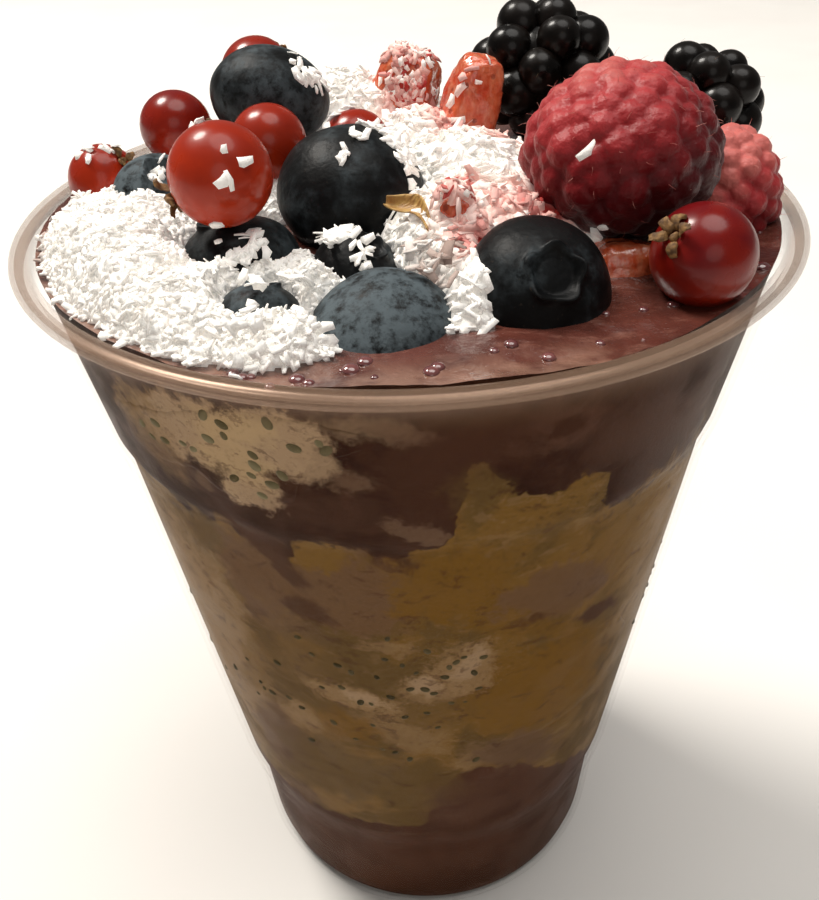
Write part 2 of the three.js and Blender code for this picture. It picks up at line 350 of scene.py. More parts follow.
def tint(text):
    # a colour written as on a paint card, as the shader wants it
    parts = [int(text[i:i + 2], 16) / 255 for i in (1, 3, 5)]
    linear = [p / 12.92 if p <= 0.04045 else ((p + 0.055) / 1.055) ** 2.4 for p in parts]
    return (*linear, 1)


def startMaterial(name, **constants):
    made = bpy.data.materials.new(name)
    made.use_nodes = True
    shader = made.node_tree.nodes["Principled BSDF"]
    for key, value in constants.items():
        shader.inputs[key.replace("_", " ")].default_value = value
    return made, Wire(made.node_tree), shader


def connect(shader, **wires):
    for key, wire in wires.items():
        wire.tree.links.new(wire.socket, shader.inputs[key.replace("_", " ")])


def bumped(shader, height, distance):
    values = {"Distance": distance * mm, "Height": height}
    connect(shader, Normal=height.node("Bump", inputs=values))


def twoTone(name, size, detail, first, second, span=0.2, rough=None, bump=None, stretch=(1, 1, 1),
            **constants):
    # a paint that drifts between two colours, and with them its roughness, over a finer bump
    made, wire, shader = startMaterial(name, **constants)
    where = wire.place()
    cloud = wire.noise(where, size, detail, 0.5, stretch).between(0.5 - span, 0.5 + span)
    connect(shader, Base_Color=cloud.mixed(first, second))
    if rough:
        connect(shader, Roughness=cloud * rough[0] + rough[1])
    if bump:
        bumpSize, bumpDetail, deep = bump
        bumped(shader, wire.noise(where, bumpSize, bumpDetail) if bumpSize else cloud, deep)
    return made


# Floor
bpy.ops.mesh.primitive_plane_add(size=8)
floor = added("floor")
floor.data.materials.append(twoTone("paleFloor", 60, 2, "#e6e3df", "#eceae6", span=0.5, Roughness=0.7))


# Tumbler, its outer line from the middle of the base to the neck, as radius and height
cup = {
    "sides": 128,
    "wall": 0.6,
    "line": [
        (2, 4.2), (10, 3.95), (18, 3.3), (24.6, 2.6), (25.6, 0), (27.3, 0),
        (28.8, 0.4), (29.9, 1.5), (30.3, 3), (31.5, 19.8), (33, 24.7),
        (41.1, 90.2), (42.1, 92.2), (45.3, 110.8),
    ],
    "soft": [19.8, 24.7, 90.2, 92.2],
    "softness": 0.7,
    "rimRadius": 49,
    "height": 115,
    "curlWidth": 3.7,
    "curlHeight": 3.0,
    "curlEnd": -100,
    "curlSteps": 16,
}


def curlPoints(thickness):
    middle = (cup["rimRadius"] - cup["curlWidth"] / 2, cup["height"] - cup["curlHeight"] / 2)
    points = []
    for i in range(cup["curlSteps"] + 1):
        angle = math.radians(180 + (cup["curlEnd"] - 180) * i / cup["curlSteps"])
        points.append((
            middle[0] + (cup["curlWidth"] / 2 - thickness) * math.cos(angle),
            middle[1] + (cup["curlHeight"] / 2 - thickness) * math.sin(angle),
        ))
    return points


def ringShell(name, rings, sides, closed=False):
    # a round disc whose edge is drawn out ring by ring
    radius, height = rings[0]
    bpy.ops.mesh.primitive_circle_add(
        vertices=sides, radius=radius, fill_type="TRIFAN", location=(0, 0, height))
    shell = added(name)
    bpy.ops.object.transform_apply(location=True)
    pick(shell, "VERT", lambda v: math.hypot(v.co.x, v.co.y) > radius * 0.5)
    bpy.ops.mesh.select_mode(type="EDGE")
    for (r0, z0), (r1, z1) in zip(rings, rings[1:]):
        bpy.ops.mesh.extrude_edges_move(TRANSFORM_OT_translate={"value": (0, 0, z1 - z0)})
        bpy.ops.transform.resize(value=(r1 / r0, r1 / r0, 1), center_override=(0, 0, z1))
    if closed:
        bpy.ops.mesh.extrude_edges_move()
        bpy.ops.mesh.merge(type="CENTER")
    done()
    facedOut(shell)
    return shell


def cupMaterial():
    # a thin wall: what lies behind shows straight through, with the sheen that grows at a slant
    made, wire, shader = startMaterial("clearPlastic")
    slant = wire.node("LayerWeight", inputs={"Blend": 0.5}, output=1)
    rolled = wire.place().fromAxis().between(45.4, 46.4)
    sheen = wire.maths("POWER", slant, 5.0) * 0.1
    connect(shader, Alpha=(sheen + 0.004 + rolled * 0.33).least(1))
    connect(shader, Base_Color=rolled.mixed("#7e5f3f", "#a88a74"))
    connect(shader, Metallic=0.85 - rolled * 0.55, Roughness=rolled * 0.14 + 0.12)
    return made


def makeCup():
    line = cup["line"] + curlPoints(cup["wall"])
    shell = ringShell("cup", line, cup["sides"])
    soft = cup["soft"]
    pick(shell, "VERT", lambda v: any(abs(v.co.z - z) < 0.01 for z in soft) and v.co.to_2d().length > 20)
    bpy.ops.mesh.select_mode(type="EDGE")
    bpy.ops.mesh.bevel(offset=cup["softness"], segments=3, affect="EDGES")
    done()
    finishWith(shell, "SOLIDIFY", thickness=cup["wall"], offset=-1, use_even_offset=True)
    settle(shell, [cupMaterial()], ["cup"])


makeCup()
print("cup made")


# Filling. A boundary between two layers has a level, to which it flattens inside the cup, and a line of
# bearings and heights that it follows at the wall, where bearing 0 faces front.
filling = {
    "intoWall": 0.1,
    "columns": 360,
    "surface": 113.4,
    "surfaceWave": 0.3,
    "ripples": [(0.22, 0, 4), (0.1, 5, 1.6)],
    "climbFrom": 42.5,
    "climb": 0.35,
    "floor": [(0, 4.2), (10, 3.95), (18, 3.3), (24.6, 2.6), (25.6, 0.9), (40, 0.9)],
    "fade": 0.45,
    "ragged": 0.5,
}
lowRings = 6
boundaries = {
    "baseTop": {
        "level": 26,
        "line": [
            (-180, 32.1), (-155, 38), (-130, 32), (-105, 28.4), (-82, 31), (-60, 28.4), (-48, 26.1),
            (-38, 26), (-25, 26.3), (-9, 26.8), (-1.2, 28.5), (2, 36.5), (6.3, 41.9), (12, 42.8),
            (22.5, 40.3), (36, 34.2), (53, 27.5), (70, 26.3), (100, 28.2), (128, 33), (155, 29.1), (180, 32.1),
        ],
    },
    "puddingTop": {
        "level": 73,
        "line": [
            (-180, 65), (-140, 70), (-100, 73), (-75, 72), (-58, 66), (-43, 61.5), (-29, 68.2), (-16, 73.9),
            (-4, 75.4), (8, 74), (17, 73), (26, 70.5), (37, 66.8), (46, 65), (60, 68), (75, 72.8), (100, 78),
            (140, 70), (180, 65),
        ],
    },
    "mangoTop": {
        "level": 90,
        "line": [
            (-180, 91), (-130, 85), (-100, 88.2), (-70, 89.6), (-44, 89.6), (-38, 88.8), (-30.6, 91.5),
            (-29, 87.6), (-25.8, 86.2), (-22, 87.1), (-18.3, 89.5), (-13, 90.5), (-4.4, 88.6), (-1.3, 90.8),
            (3, 91.2), (5, 93.8), (6, 100.8), (7.7, 103), (10.2, 102), (11.5, 99.6), (13.1, 97.6), (17, 97.1),
            (21.3, 97.4), (24.4, 99.4), (26.8, 99), (28.5, 96.4), (29.7, 93.1), (34.4, 90), (47.7, 88.6),
            (75, 86), (150, 96), (180, 91),
        ],
    },
}


def outerRadius(z):
    above = cup["line"][7:] + [(45.9, 113.5)]
    return float(np.interp(z, [p[1] for p in above], [p[0] for p in above]))


def innerRadius(z):
    return outerRadius(z) - cup["wall"]


def lineAt(name, bearing):
    line = boundaries[name]["line"]
    return float(np.interp((bearing + 180) % 360 - 180, [p[0] for p in line], [p[1] for p in line]))


def boundaryHeight(name, x, y):
    level = boundaries[name]["level"]
    bearing = math.degrees(math.atan2(x, -y))
    outwards = min(1, math.hypot(x, y) / cup["rimRadius"] / filling["fade"])
    turn = Vector((math.sin(math.radians(bearing)), math.cos(math.radians(bearing)), level))
    rise = lineAt(name, bearing) - level + filling["ragged"] * noise.noise(turn * 12)
    return level + rise * outwards ** 2


def surfaceHeight(x, y):
    wave = filling["surfaceWave"] * math.sin(0.16 * x + 1) * math.cos(0.14 * y - 0.4)
    ripple = sum(rise * unevenAt(x, y, seed, size) for rise, seed, size in filling["ripples"])
    edge = max(0, math.hypot(x, y) - filling["climbFrom"]) / 3
    return filling["surface"] + wave + ripple + filling["climb"] * min(1, edge) ** 2


# What shows through the wall: each layer's two colours, two more at the back, and one in thin marbling.
# A patch has a paint, bearing and height, half sizes round and up, its turn, share and how soft its edge is.
paintCard = {
    "acai": "#3a1e0e",
    "acaiDark": "#2c1408",
    "acaiBase": "#4a2815",
    "umber": "#432617",
    "mauve": "#553829",
    "clay": "#624936",
    "ochre": "#704f18",
    "ochreDull": "#735422",
    "olive": "#5e4723",
    "greige": "#674b30",
    "tan": "#876a47",
    "sand": "#8a6d4a",
    "pale": "#a08568",
    "strand": "#b0946e",
}
layerPaints = {
    "baseSide": ("acaiBase", "umber", "mauve", "acai", "mauve"),
    "puddingSide": ("ochreDull", "olive", "sand", "ochre", "sand"),
    "mangoSide": ("ochreDull", "olive", "greige", "ochre", "tan"),
    "acaiSide": ("acai", "acaiDark", "mauve", "pale", "umber"),
}
layerEdges = {
    "baseSide": (None, "baseTop"),
    "puddingSide": ("baseTop", "puddingTop"),
    "mangoSide": ("puddingTop", "mangoTop"),
    "acaiSide": ("mangoTop", None),
}
wallPatches = [
    ("umber", 7, 106.5, 5.7, 7.1, 8, 0.6, 0.6),
    ("mauve", 33, 102.9, 10.9, 3.7, 24, 0.35, 0.7),
    ("mauve", 19, 107.0, 3.7, 2.7, 17, 0.7, 0.5),
    ("acai", 19, 106.4, 1.5, 1.2, 5, 0.9, 0.4),
    ("mauve", 16, 104.7, 2.8, 1.0, 9, 0.3, 0.6),
    ("pale", -6, 108.7, 4.2, 1.2, 9, 0.45, 0.7),
    ("mauve", -1, 108.2, 3.1, 1.0, 11, 0.5, 0.6),
    ("tan", -37, 104.9, 6.4, 3.7, -10, 0.95, 0.35),
    ("pale", -28, 104.9, 7.6, 4.3, -3, 1, 0.25),
    ("pale", -19, 106.7, 6.1, 2.9, -5, 1, 0.25),
    ("pale", -15, 104.1, 3.3, 2.4, 35, 0.8, 0.4),
    ("pale", -23, 98.8, 3.0, 3.3, 10, 1, 0.25),
    ("strand", -23, 107.3, 3.8, 1.7, -5, 0.85, 0.5),
    ("strand", -24, 102.0, 3.4, 3.5, -16, 0.75, 0.5),
    ("tan", -40, 100.9, 3.7, 5.1, -11, 0.5, 0.6),
    ("clay", -8, 101.2, 2.0, 1.9, -4, 0.85, 0.35),
    ("clay", -32, 97.4, 1.5, 1.0, -23, 0.7, 0.5),
    ("mauve", -12, 96.1, 6.2, 2.3, 1, 0.35, 0.6),
    ("clay", -1, 94.5, 2.4, 1.3, 32, 0.9, 0.3),
    ("clay", 2, 93.0, 1.7, 1.0, 6, 0.85, 0.3),
    ("olive", 8, 99.0, 2.5, 3.0, 10, 0.5, 0.5),
    ("olive", -40, 85.2, 4.0, 5.5, 45, 0.95, 0.2),
    ("greige", -29, 82.7, 5.3, 7.5, 16, 0.95, 0.2),
    ("greige", -12, 82.1, 9.0, 7.0, -10, 0.95, 0.2),
    ("tan", -43, 72.4, 4.5, 14, -3, 0.7, 0.4),
    ("clay", -25, 74.0, 6.5, 2.5, 3, 0.55, 0.5),
    ("umber", -24, 86.7, 1.5, 4.7, -43, 0.8, 0.3),
    ("umber", -20, 77.9, 2.4, 3.2, -50, 0.75, 0.35),
    ("umber", -26, 89.6, 3.6, 1.6, 35, 0.75, 0.35),
    ("ochreDull", -16, 87.6, 3.4, 2.5, 1, 1, 0.2),
    ("umber", -4, 88.5, 2.8, 1.6, 11, 0.8, 0.3),
    ("greige", -7, 84.0, 3.6, 4.6, -4, 0.7, 0.4),
    ("ochre", 5, 84.0, 7.0, 6.3, -23, 0.9, 0.3),
    ("ochre", 13, 78.8, 9.1, 3.4, 18, 0.7, 0.5),
    ("ochreDull", 44, 82.0, 9.3, 9, 23, 0.9, 0.3),
    ("greige", 25, 78.8, 8.0, 4.6, 15, 0.95, 0.2),
    ("clay", 29, 78.5, 3.8, 2.0, 9, 0.4, 0.6),
    ("umber", 36, 70.5, 3.9, 1.2, 12, 0.9, 0.3),
    ("umber", 18, 75.3, 2.3, 0.9, 7, 0.8, 0.3),
    ("ochre", 26, 71.0, 11.4, 1.8, 30, 0.7, 0.5),
    # painted light: these three patches near the left and right sides paint the filling lighter and yellower,
    # where light shines through it near the cup's edges
    ("tan", -49, 60, 9, 19, 0, 1, 0.3),
    ("sand", -52, 74, 5, 14, 0, 0.7, 0.5),
    ("sand", 52, 76, 6, 16, 0, 0.6, 0.5),
    ("ochreDull", -38, 61.3, 2.4, 8, 24, 0.7, 0.4),
    ("clay", -38, 44, 5.0, 10, 22, 0.8, 0.4),
    ("ochre", 24, 59.4, 13, 9.5, 32, 1, 0.25),
    ("olive", -13, 61.9, 14.2, 10, 3, 0.6, 0.5),
    ("sand", 8, 67.9, 5.1, 4.6, -55, 0.9, 0.3),
    ("pale", 8, 68.7, 3.9, 1.8, -55, 0.7, 0.4),
    ("sand", 2, 64.3, 4.3, 2.6, -10, 0.8, 0.4),
    ("pale", 0, 64.9, 1.5, 1.8, -15, 0.7, 0.5),
    ("sand", -15, 61.5, 5.9, 2.6, 14, 0.9, 0.3),
    ("pale", -12, 61.6, 2.8, 1.4, 15, 0.7, 0.4),
    ("sand", -28, 52.6, 3.6, 3.4, 26, 0.8, 0.4),
    ("sand", -5, 54.4, 6.6, 3.6, 32, 0.6, 0.4),
    ("sand", -6, 73.2, 3.1, 1.4, 7, 0.6, 0.4),
    ("ochre", -17, 54.3, 4.6, 2.8, 7, 0.8, 0.4),
    ("olive", -7, 49.4, 1.9, 2.1, -7, 0.9, 0.3),
    ("olive", -24, 41.1, 8.8, 8, 10, 0.85, 0.35),
    ("olive", -4, 39.6, 8.7, 6.5, 16, 0.8, 0.35),
    ("sand", 10, 46.1, 3.4, 3.2, 20, 0.7, 0.4),
    ("clay", 22, 44.5, 9.0, 4.2, 27, 0.8, 0.35),
    ("mauve", 10, 33, 7, 6.5, -1, 0.7, 0.5),
    ("mauve", -39, 20, 6, 10, -19, 0.45, 0.6),
    ("clay", -37, 28.9, 3.5, 2.2, 12, 0.6, 0.4),
    ("mauve", -3, 13.2, 13.1, 4.2, -3, 0.35, 0.6),
]
wallSet = {
    "arc": 38, "pull": 8, "pullSize": 6, "torn": 1.7, "tornSize": 2.4, "edge": 0.35, "rear": (56, 66),
    "lineTop": 120,
}


def reaches(patch, edges):
    # whether a patch comes near the part of the wall between two boundaries
    at, height, around, up = patch[1:5]
    below, above = edges
    for i in range(-3, 4):
        for j in range(-3, 4):
            bearing, z = at + math.degrees(around * i / 2 / wallSet["arc"]), height + up * j / 2
            low = lineAt(below, bearing) - 2.5 if below else 0
            high = lineAt(above, bearing) + 2.5 if above else cup["height"]
            if low < z < high:
                return True
    return False


def fillingPaint(name):
    made, wire, shader = startMaterial(name, Specular_IOR_Level=0.05)
    card = paintCard
    where = wire.place()
    # coordinates pulled about by noise down to fine grain, so that every edge is smeared and torn
    values = {"Vector": where, "Scale": 1 / wallSet["pullSize"], "Detail": 6.0, "Roughness": 0.66}
    shift = wire.node("TexNoise", inputs=values, output=1)
    centred = wire.vector("SUBTRACT", {0: shift, 1: (0.5, 0.5, 0.5)})
    scaled = wire.vector("SCALE", {0: centred, "Scale": wallSet["pull"]})
    pulled = wire.vector("ADD", {0: where, 1: scaled})
    x, y, z = pulled.parts()
    angle = wire.maths("ARCTAN2", x, y * -1)
    flat = wire.node("CombineXYZ", inputs={"X": angle * wallSet["arc"], "Y": z})
    rear = wire.maths("ABSOLUTE", angle).between(*(math.radians(a) for a in wallSet["rear"]))
    cloud = wire.noise(pulled, 8, 3).between(0.4, 0.6)
    drift = wire.noise(pulled, 11, 3, 0.5, (1, 1, 1.7)).between(0.5, 0.56)
    islands = wire.noise(pulled, 7, 3, 0.5, (1.3, 1.3, 2)).between(0.56, 0.6)
    marble = wire.noise(pulled, 3.2, 4, 0.65, (1, 1, 2.2))
    shares = [drift * rear * 0.85, islands * rear * 0.85, marble.between(0.54, 0.66) * 0.4]
    colour = None
    for layer, (first, second, *others) in layerPaints.items():
        paint = cloud.mixed(card[first], card[second])
        for share, other in zip(shares, others):
            paint = share.mixed(paint, card[other])
        below = layerEdges[layer][0]
        if below:
            top = wallSet["lineTop"]
            stops = [(b / 360 + 0.5, (h / top,) * 3 + (1,)) for b, h in boundaries[below]["line"]]
            line = wire.node("ValToRGB", {"stops": stops}, {"Fac": angle * (0.5 / math.pi) + 0.5})
            mask = (z - line * top).between(-wallSet["edge"], wallSet["edge"])
            paint = mask.mixed(colour, paint)
        colour = paint
    torn = (wire.noise(where, wallSet["tornSize"], 6, 0.68) - 0.5) * wallSet["torn"]
    for patch in wallPatches:
        if not reaches(patch, layerEdges[name]):
            continue
        paint, at, height, around, up, lean, share, soft = patch
        local = wire.node("Mapping", {"vector_type": "TEXTURE"}, {
            "Vector": flat,
            "Location": (math.radians(at) * wallSet["arc"], height, 0),
            "Rotation": (0, 0, math.radians(-lean)),
            "Scale": (around, up, 1),
        })
        away = wire.vector("LENGTH", {0: local}, 1) + torn
        colour = away.between(1 + soft, 1 - soft, share).mixed(colour, card[paint])
    colour = (marble.between(0.45, 0.34) * 0.5).mixed(colour, card["umber"])
    grain = wire.noise(where, 0.6, 2)
    colour = (grain.between(0.5, 0.8) * 0.25).mixed(colour, card["acaiDark"])
    connect(shader, Base_Color=colour, Roughness=cloud * 0.15 + 0.45)
    bumped(shader, grain, 0.04)
    return made


def wetSurfacePaint():
    # the acai between the fruit: plum, with milky smears, darker wet hollows and a lighter band near the front
    # rim that is partly a milky film and partly a painted highlight
    made, wire, shader = startMaterial("wetSurface", Coat_Weight=0.7, Coat_Roughness=0.07)
    where = wire.place()
    plum = wire.noise(where, 6, 4).between(0.35, 0.7)
    milk = wire.noise(where, 3.4, 4, 0.6, (1, 2.2, 1)).between(0.5, 0.75)
    colour = plum.mixed("#5f332a", "#45231d")
    colour = (milk * 0.65).mixed(colour, "#80564a")
    x, y, z = where.parts()
    # a milky film along the wall, kept to the front by the rim: partly a real film, partly a painted highlight
    # standing in for wet glints there
    filmAndPaintedHighlight = where.fromAxis().between(39, 44.5) * wire.noise(where, 4, 3).between(0.3, 0.6)
    filmAndPaintedHighlight = filmAndPaintedHighlight * (0 - y - x * 0.5).between(24, 36)
    colour = (filmAndPaintedHighlight * 0.75).mixed(colour, "#94705f")
    connect(shader, Base_Color=colour, Roughness=plum * 0.2 + 0.16)
    bumped(shader, wire.noise(where, 1.6, 3) + wire.noise(where, 0.5, 2) * 0.25, 0.3)
    return made


def layerPiece(name, below, above, materials, rings, topRings=6):
    # drawn out as a plain drum of radius 10 and height 10, then fitted to the cup and its boundaries
    drum = [(10 * (i + 1) / lowRings, 0) for i in range(lowRings)]
    drum += [(10, 10 * (i + 1) / rings) for i in range(rings)]
    drum += [(10 * (1 - i / topRings), 10) for i in range(1, topRings)]
    piece = ringShell(name, drum, filling["columns"], closed=True)
    lowAt = (lambda x, y: boundaryHeight(below, x, y)) if below else floorHeight
    highAt = (lambda x, y: boundaryHeight(above, x, y)) if above else surfaceHeight
    for material in materials:
        piece.data.materials.append(material)
    piece.data.polygons.foreach_set("material_index", [
        len(materials) - 1 if f.center.z > 9.99 else 0 for f in piece.data.polygons])
    for vertex in piece.data.vertices:
        share, t = vertex.co.to_2d().length / 10, vertex.co.z / 10
        bearing = math.degrees(math.atan2(vertex.co.x, -vertex.co.y))
        x, y, z = roundFrom(bearing, 40, 0)
        wallHeight = lowAt(x, y) * (1 - t) + highAt(x, y) * t
        x, y, z = roundFrom(bearing, share * (innerRadius(wallHeight) + filling["intoWall"]), 0)
        vertex.co = (x, y, lowAt(x, y) * (1 - t) + highAt(x, y) * t)
    settle(piece, [], [name])
    smoothOver(piece, 45)


def floorHeight(x, y):
    # the top side of the cup's base, with the filling just into it
    height = float(np.interp(math.hypot(x, y), *zip(*filling["floor"])))
    return height + cup["wall"] - filling["intoWall"]


sides = {name: fillingPaint(name) for name in layerPaints}
layerPiece("acai_base", None, "baseTop", [sides["baseSide"]], 30)
layerPiece("pudding_layer", "baseTop", "puddingTop", [sides["puddingSide"]], 36)
layerPiece("mango_layer", "puddingTop", "mangoTop", [sides["mangoSide"]], 20)
layerPiece("acai_top", "mangoTop", None, [sides["acaiSide"], wetSurfacePaint()], 24, 56)
print("filling made")


# Patches of pudding and mango against the wall, between a low and a high line of bearing and height
pocketSet = {
    "pudding_patch": {
        "low": [(-50, 99), (-43, 96.9), (-33, 98.4), (-30, 96.3), (-26, 94.8), (-21, 95.1), (-17, 97.3),
                (-15, 101.4), (-10, 104.4), (-4, 107)],
        "high": [(-50, 103.5), (-42, 105.6), (-35, 106.5), (-30, 108.3), (-24, 110.1), (-20, 110.2),
                 (-13, 109.5), (-8, 108.4), (-4, 107.4)],
        "deep": 7, "paint": "acaiSide", "slot": "chia_pudding",
    },
    "mango_patch": {
        "low": [(3, 55), (6, 50.6), (14, 47.8), (25, 46.6), (36, 47.2), (46, 49.6), (53, 54)],
        "high": [(3, 58), (6, 65), (10, 69), (18, 70.4), (26, 70), (36, 68), (46, 65), (53, 58)],
        "deep": 7, "paint": "puddingSide", "slot": "mango",
    },
}
pocketProud = 0.2
pocketGrid = (110, 36)


def makePocket(name, values):
    bpy.ops.mesh.primitive_grid_add(x_subdivisions=pocketGrid[0], y_subdivisions=pocketGrid[1], size=2)
    piece = added(name)
    pick(piece, "FACE", lambda f: True)
    bpy.ops.mesh.extrude_region_move(TRANSFORM_OT_translate={"value": (0, 0, 1)})
    done()
    facedOut(piece)
    start, end = values["low"][0][0], values["low"][-1][0]
    for vertex in piece.data.vertices:
        u, v, back = (vertex.co.x + 1) / 2, (vertex.co.y + 1) / 2, vertex.co.z < 0.5
        bearing = start + (end - start) * u
        low, high = (float(np.interp(bearing, *zip(*values[k]))) for k in ("low", "high"))
        ragged = 0.5 * noise.noise(Vector((bearing / 1.5, 0, 1)))
        ragged += 0.3 * noise.noise(Vector((bearing / 0.6, 0, 2)))
        low, high = low + ragged, high - ragged * 0.7
        height = low + (high - low) * v
        edge = min(1, 6 * min(u, 1 - u, v, 1 - v))
        inwards = values["deep"] * math.sqrt(edge) + 0.5 if back else 0.5 * (1 - edge) ** 4
        radius = innerRadius(height) + pocketProud - inwards
        vertex.co = roundFrom(bearing, radius, height)
    facedOut(piece)
    settle(piece, [sides[values["paint"]]], [name])
    smoothOver(piece, 45)


for pocketName, pocketValues in pocketSet.items():
    makePocket(pocketName, pocketValues)


# Chia seeds that touch the wall: those in front by bearing and height, and fields of them at the back
seedPlaces = [
    (-41.3, 102.8), (-40.1, 101.3), (-33.2, 102.5), (-31.4, 102.2), (-24.8, 107.2), (-25.0, 105.7),
    (-21.4, 103.8), (-22.6, 100.7), (-21.6, 102.3), (-19.7, 99.9), (-21.8, 97.9), (-18.0, 108.5),
    (-11.8, 106.7), (-11.0, 105.8), (-37.7, 104.0), (-37.1, 101.7), (-25.6, 99.6), (-17.8, 101.6),
    (-23.4, 101.5), (-27.3, 107.8), (-27.9, 104.6), (-15.2, 105.7), (0.7, 72.4), (-13.8, 67.2),
    (-12.9, 60.7), (-10.8, 60.6), (4.7, 68.8), (6.0, 69.7), (7.4, 70.5), (3.9, 66.8), (-2.7, 64.5),
    (0.1, 64.4), (1.8, 63.4), (9.5, 67.0), (11.1, 69.9), (10.6, 63.5), (-4.1, 58.1), (0.3, 59.0),
    (-6.7, 62.6), (-6.1, 74.9), (-27.3, 55.4), (-30.2, 56.6), (-30.4, 64.5), (-21.2, 69.3),
    (-20.0, 54.3), (-6.9, 49.1), (-9.7, 49.6), (11.2, 45.8), (-3.8, 47.5), (-16.4, 63.4), (-8.9, 66.8),
    (-3.9, 69.6), (-1.4, 68.0), (-7.0, 70.7), (-11.1, 55.5), (-15.5, 51.2), (2.5, 55.4), (-20.8, 62.3),
    (-16.3, 68.2), (-23.4, 72.2), (-37.5, 55.5), (-27.2, 47.3), (5.2, 60.9), (8.0, 60.9),
]
seedFields = [
    {"bearing": 75, "height": 60, "around": 16, "up": 9, "count": 18},
    {"bearing": 150, "height": 56, "around": 60, "up": 13, "count": 80},
    {"bearing": 250, "height": 56, "around": 50, "up": 12, "count": 70},
    {"bearing": 190, "height": 103, "around": 24, "up": 5, "count": 24},
]
seedSet = {
    "half": (0.66, 0.46, 0.3), "upperFrom": 90, "upper": 1.2, "lower": 0.85, "spread": 0.22, "apart": 1.1,
    "proud": -0.06, "seed": 4,
}


def makeSeeds():
    draw = random.Random(seedSet["seed"])
    places, middles, spots = [], [], list(seedPlaces)
    for field in seedFields:
        for i in range(field["count"]):
            angle, share = draw.uniform(0, 2 * math.pi), math.sqrt(draw.random())
            height = field["height"] + field["up"] * share * math.sin(angle)
            around = math.degrees(field["around"] * share * math.cos(angle) / innerRadius(height))
            spots.append((field["bearing"] + around, height))
    for bearing, height in spots:
        radius = innerRadius(height) + seedSet["proud"] + filling["intoWall"]
        middle = roundFrom(bearing, radius, height)
        size = seedSet["upper"] if height > seedSet["upperFrom"] else seedSet["lower"]
        size += draw.uniform(-1, 1) * seedSet["spread"]
        spin = draw.uniform(0, math.pi)
        if any((middle - other).length < seedSet["apart"] for other in middles):
            continue
        middles.append(middle)
        outwards = Vector((middle.x, middle.y, 0))
        places.append(Matrix.Translation(middle) @ aimed(outwards, spin) @ Matrix.Scale(size, 4))
    bpy.ops.mesh.primitive_ico_sphere_add(subdivisions=2, radius=1)
    seed = added("oneSeed")
    seed.data.transform(Matrix.Diagonal((*seedSet["half"], 1)))
    shades = [draw.random() + (place.translation.z > seedSet["upperFrom"]) for place in places]
    piece = repeated("chiaSeeds", seed, places, shades)
    made, wire, shader = startMaterial("chiaSeed", Roughness=0.7, Specular_IOR_Level=0.1)
    colour = (wire.shade() * 0.5).ramp((0, "#3f3722"), (0.5, "#5a4f35"), (1, "#7d7457"))
    connect(shader, Base_Color=colour)
    settle(piece, [made])


makeSeeds()
print("patches and seeds made")


# Blueberries: place, radius, height over width, tilt, and how much dusty bloom each still has
blueberryShape = {
    "sides": 40, "rings": 24, "crownAngle": 22, "rise": 0.06, "rim": 0.07, "hollow": 0.17,
    "lobes": 5, "lobeRise": 0.045, "uneven": 0.035,
}
blueberrySet = [
    {"at": (-6.5, -7.3, 117.6), "radius": 8.8, "squash": 0.86, "tilt": (192, 8), "bloom": 0.27},
    {"at": (-18, 15.6, 123.3), "radius": 8.2, "squash": 0.8, "tilt": (166, 10), "bloom": 0.42},
    {"at": (-3, -32.2, 111.4), "radius": 7.9, "squash": 0.76, "tilt": (200, -12), "bloom": 0.7},
    {"at": (13, -28, 113.9), "radius": 7.8, "squash": 0.86, "tilt": (48, 14), "bloom": 0.22},
    {"at": (-19.3, -15.9, 112), "radius": 7.4, "squash": 0.84, "tilt": (-10, -16), "bloom": 0.3},
    {"at": (-30.8, -2.4, 116), "radius": 5.6, "squash": 0.95, "tilt": (30, 20), "bloom": 0.8},
    {"at": (-5.7, -20.6, 113.4), "radius": 5.0, "squash": 0.84, "tilt": (16, 26), "bloom": 0.25},
    {"at": (-15.1, -30.4, 113), "radius": 4.5, "squash": 0.84, "tilt": (-24, 8), "bloom": 0.45},
]


def blueberrySkin():
    made, wire, shader = startMaterial("blueberrySkin", Specular_IOR_Level=0.13)
    where = wire.place()
    cloud = wire.noise(where, 5, 4, 0.6)
    rubbed = wire.noise(where, 1.4, 4, 0.7).between(0.3, 0.6)
    dust = (wire.shade() * 1.3 + cloud * 1.4 - 0.95).between(0, 0.75) * rubbed
    colour = dust.mixed("#0a0b0c", "#535d62")
    flecks = wire.noise(where, 0.5, 2).between(0.68, 0.8) * 0.35
    colour = flecks.mixed(colour, "#4b3f35")
    connect(shader, Base_Color=colour, Roughness=dust * 0.25 + 0.45)
    bumped(shader, wire.noise(where, 1.3, 3) + cloud, 0.11)
    return made


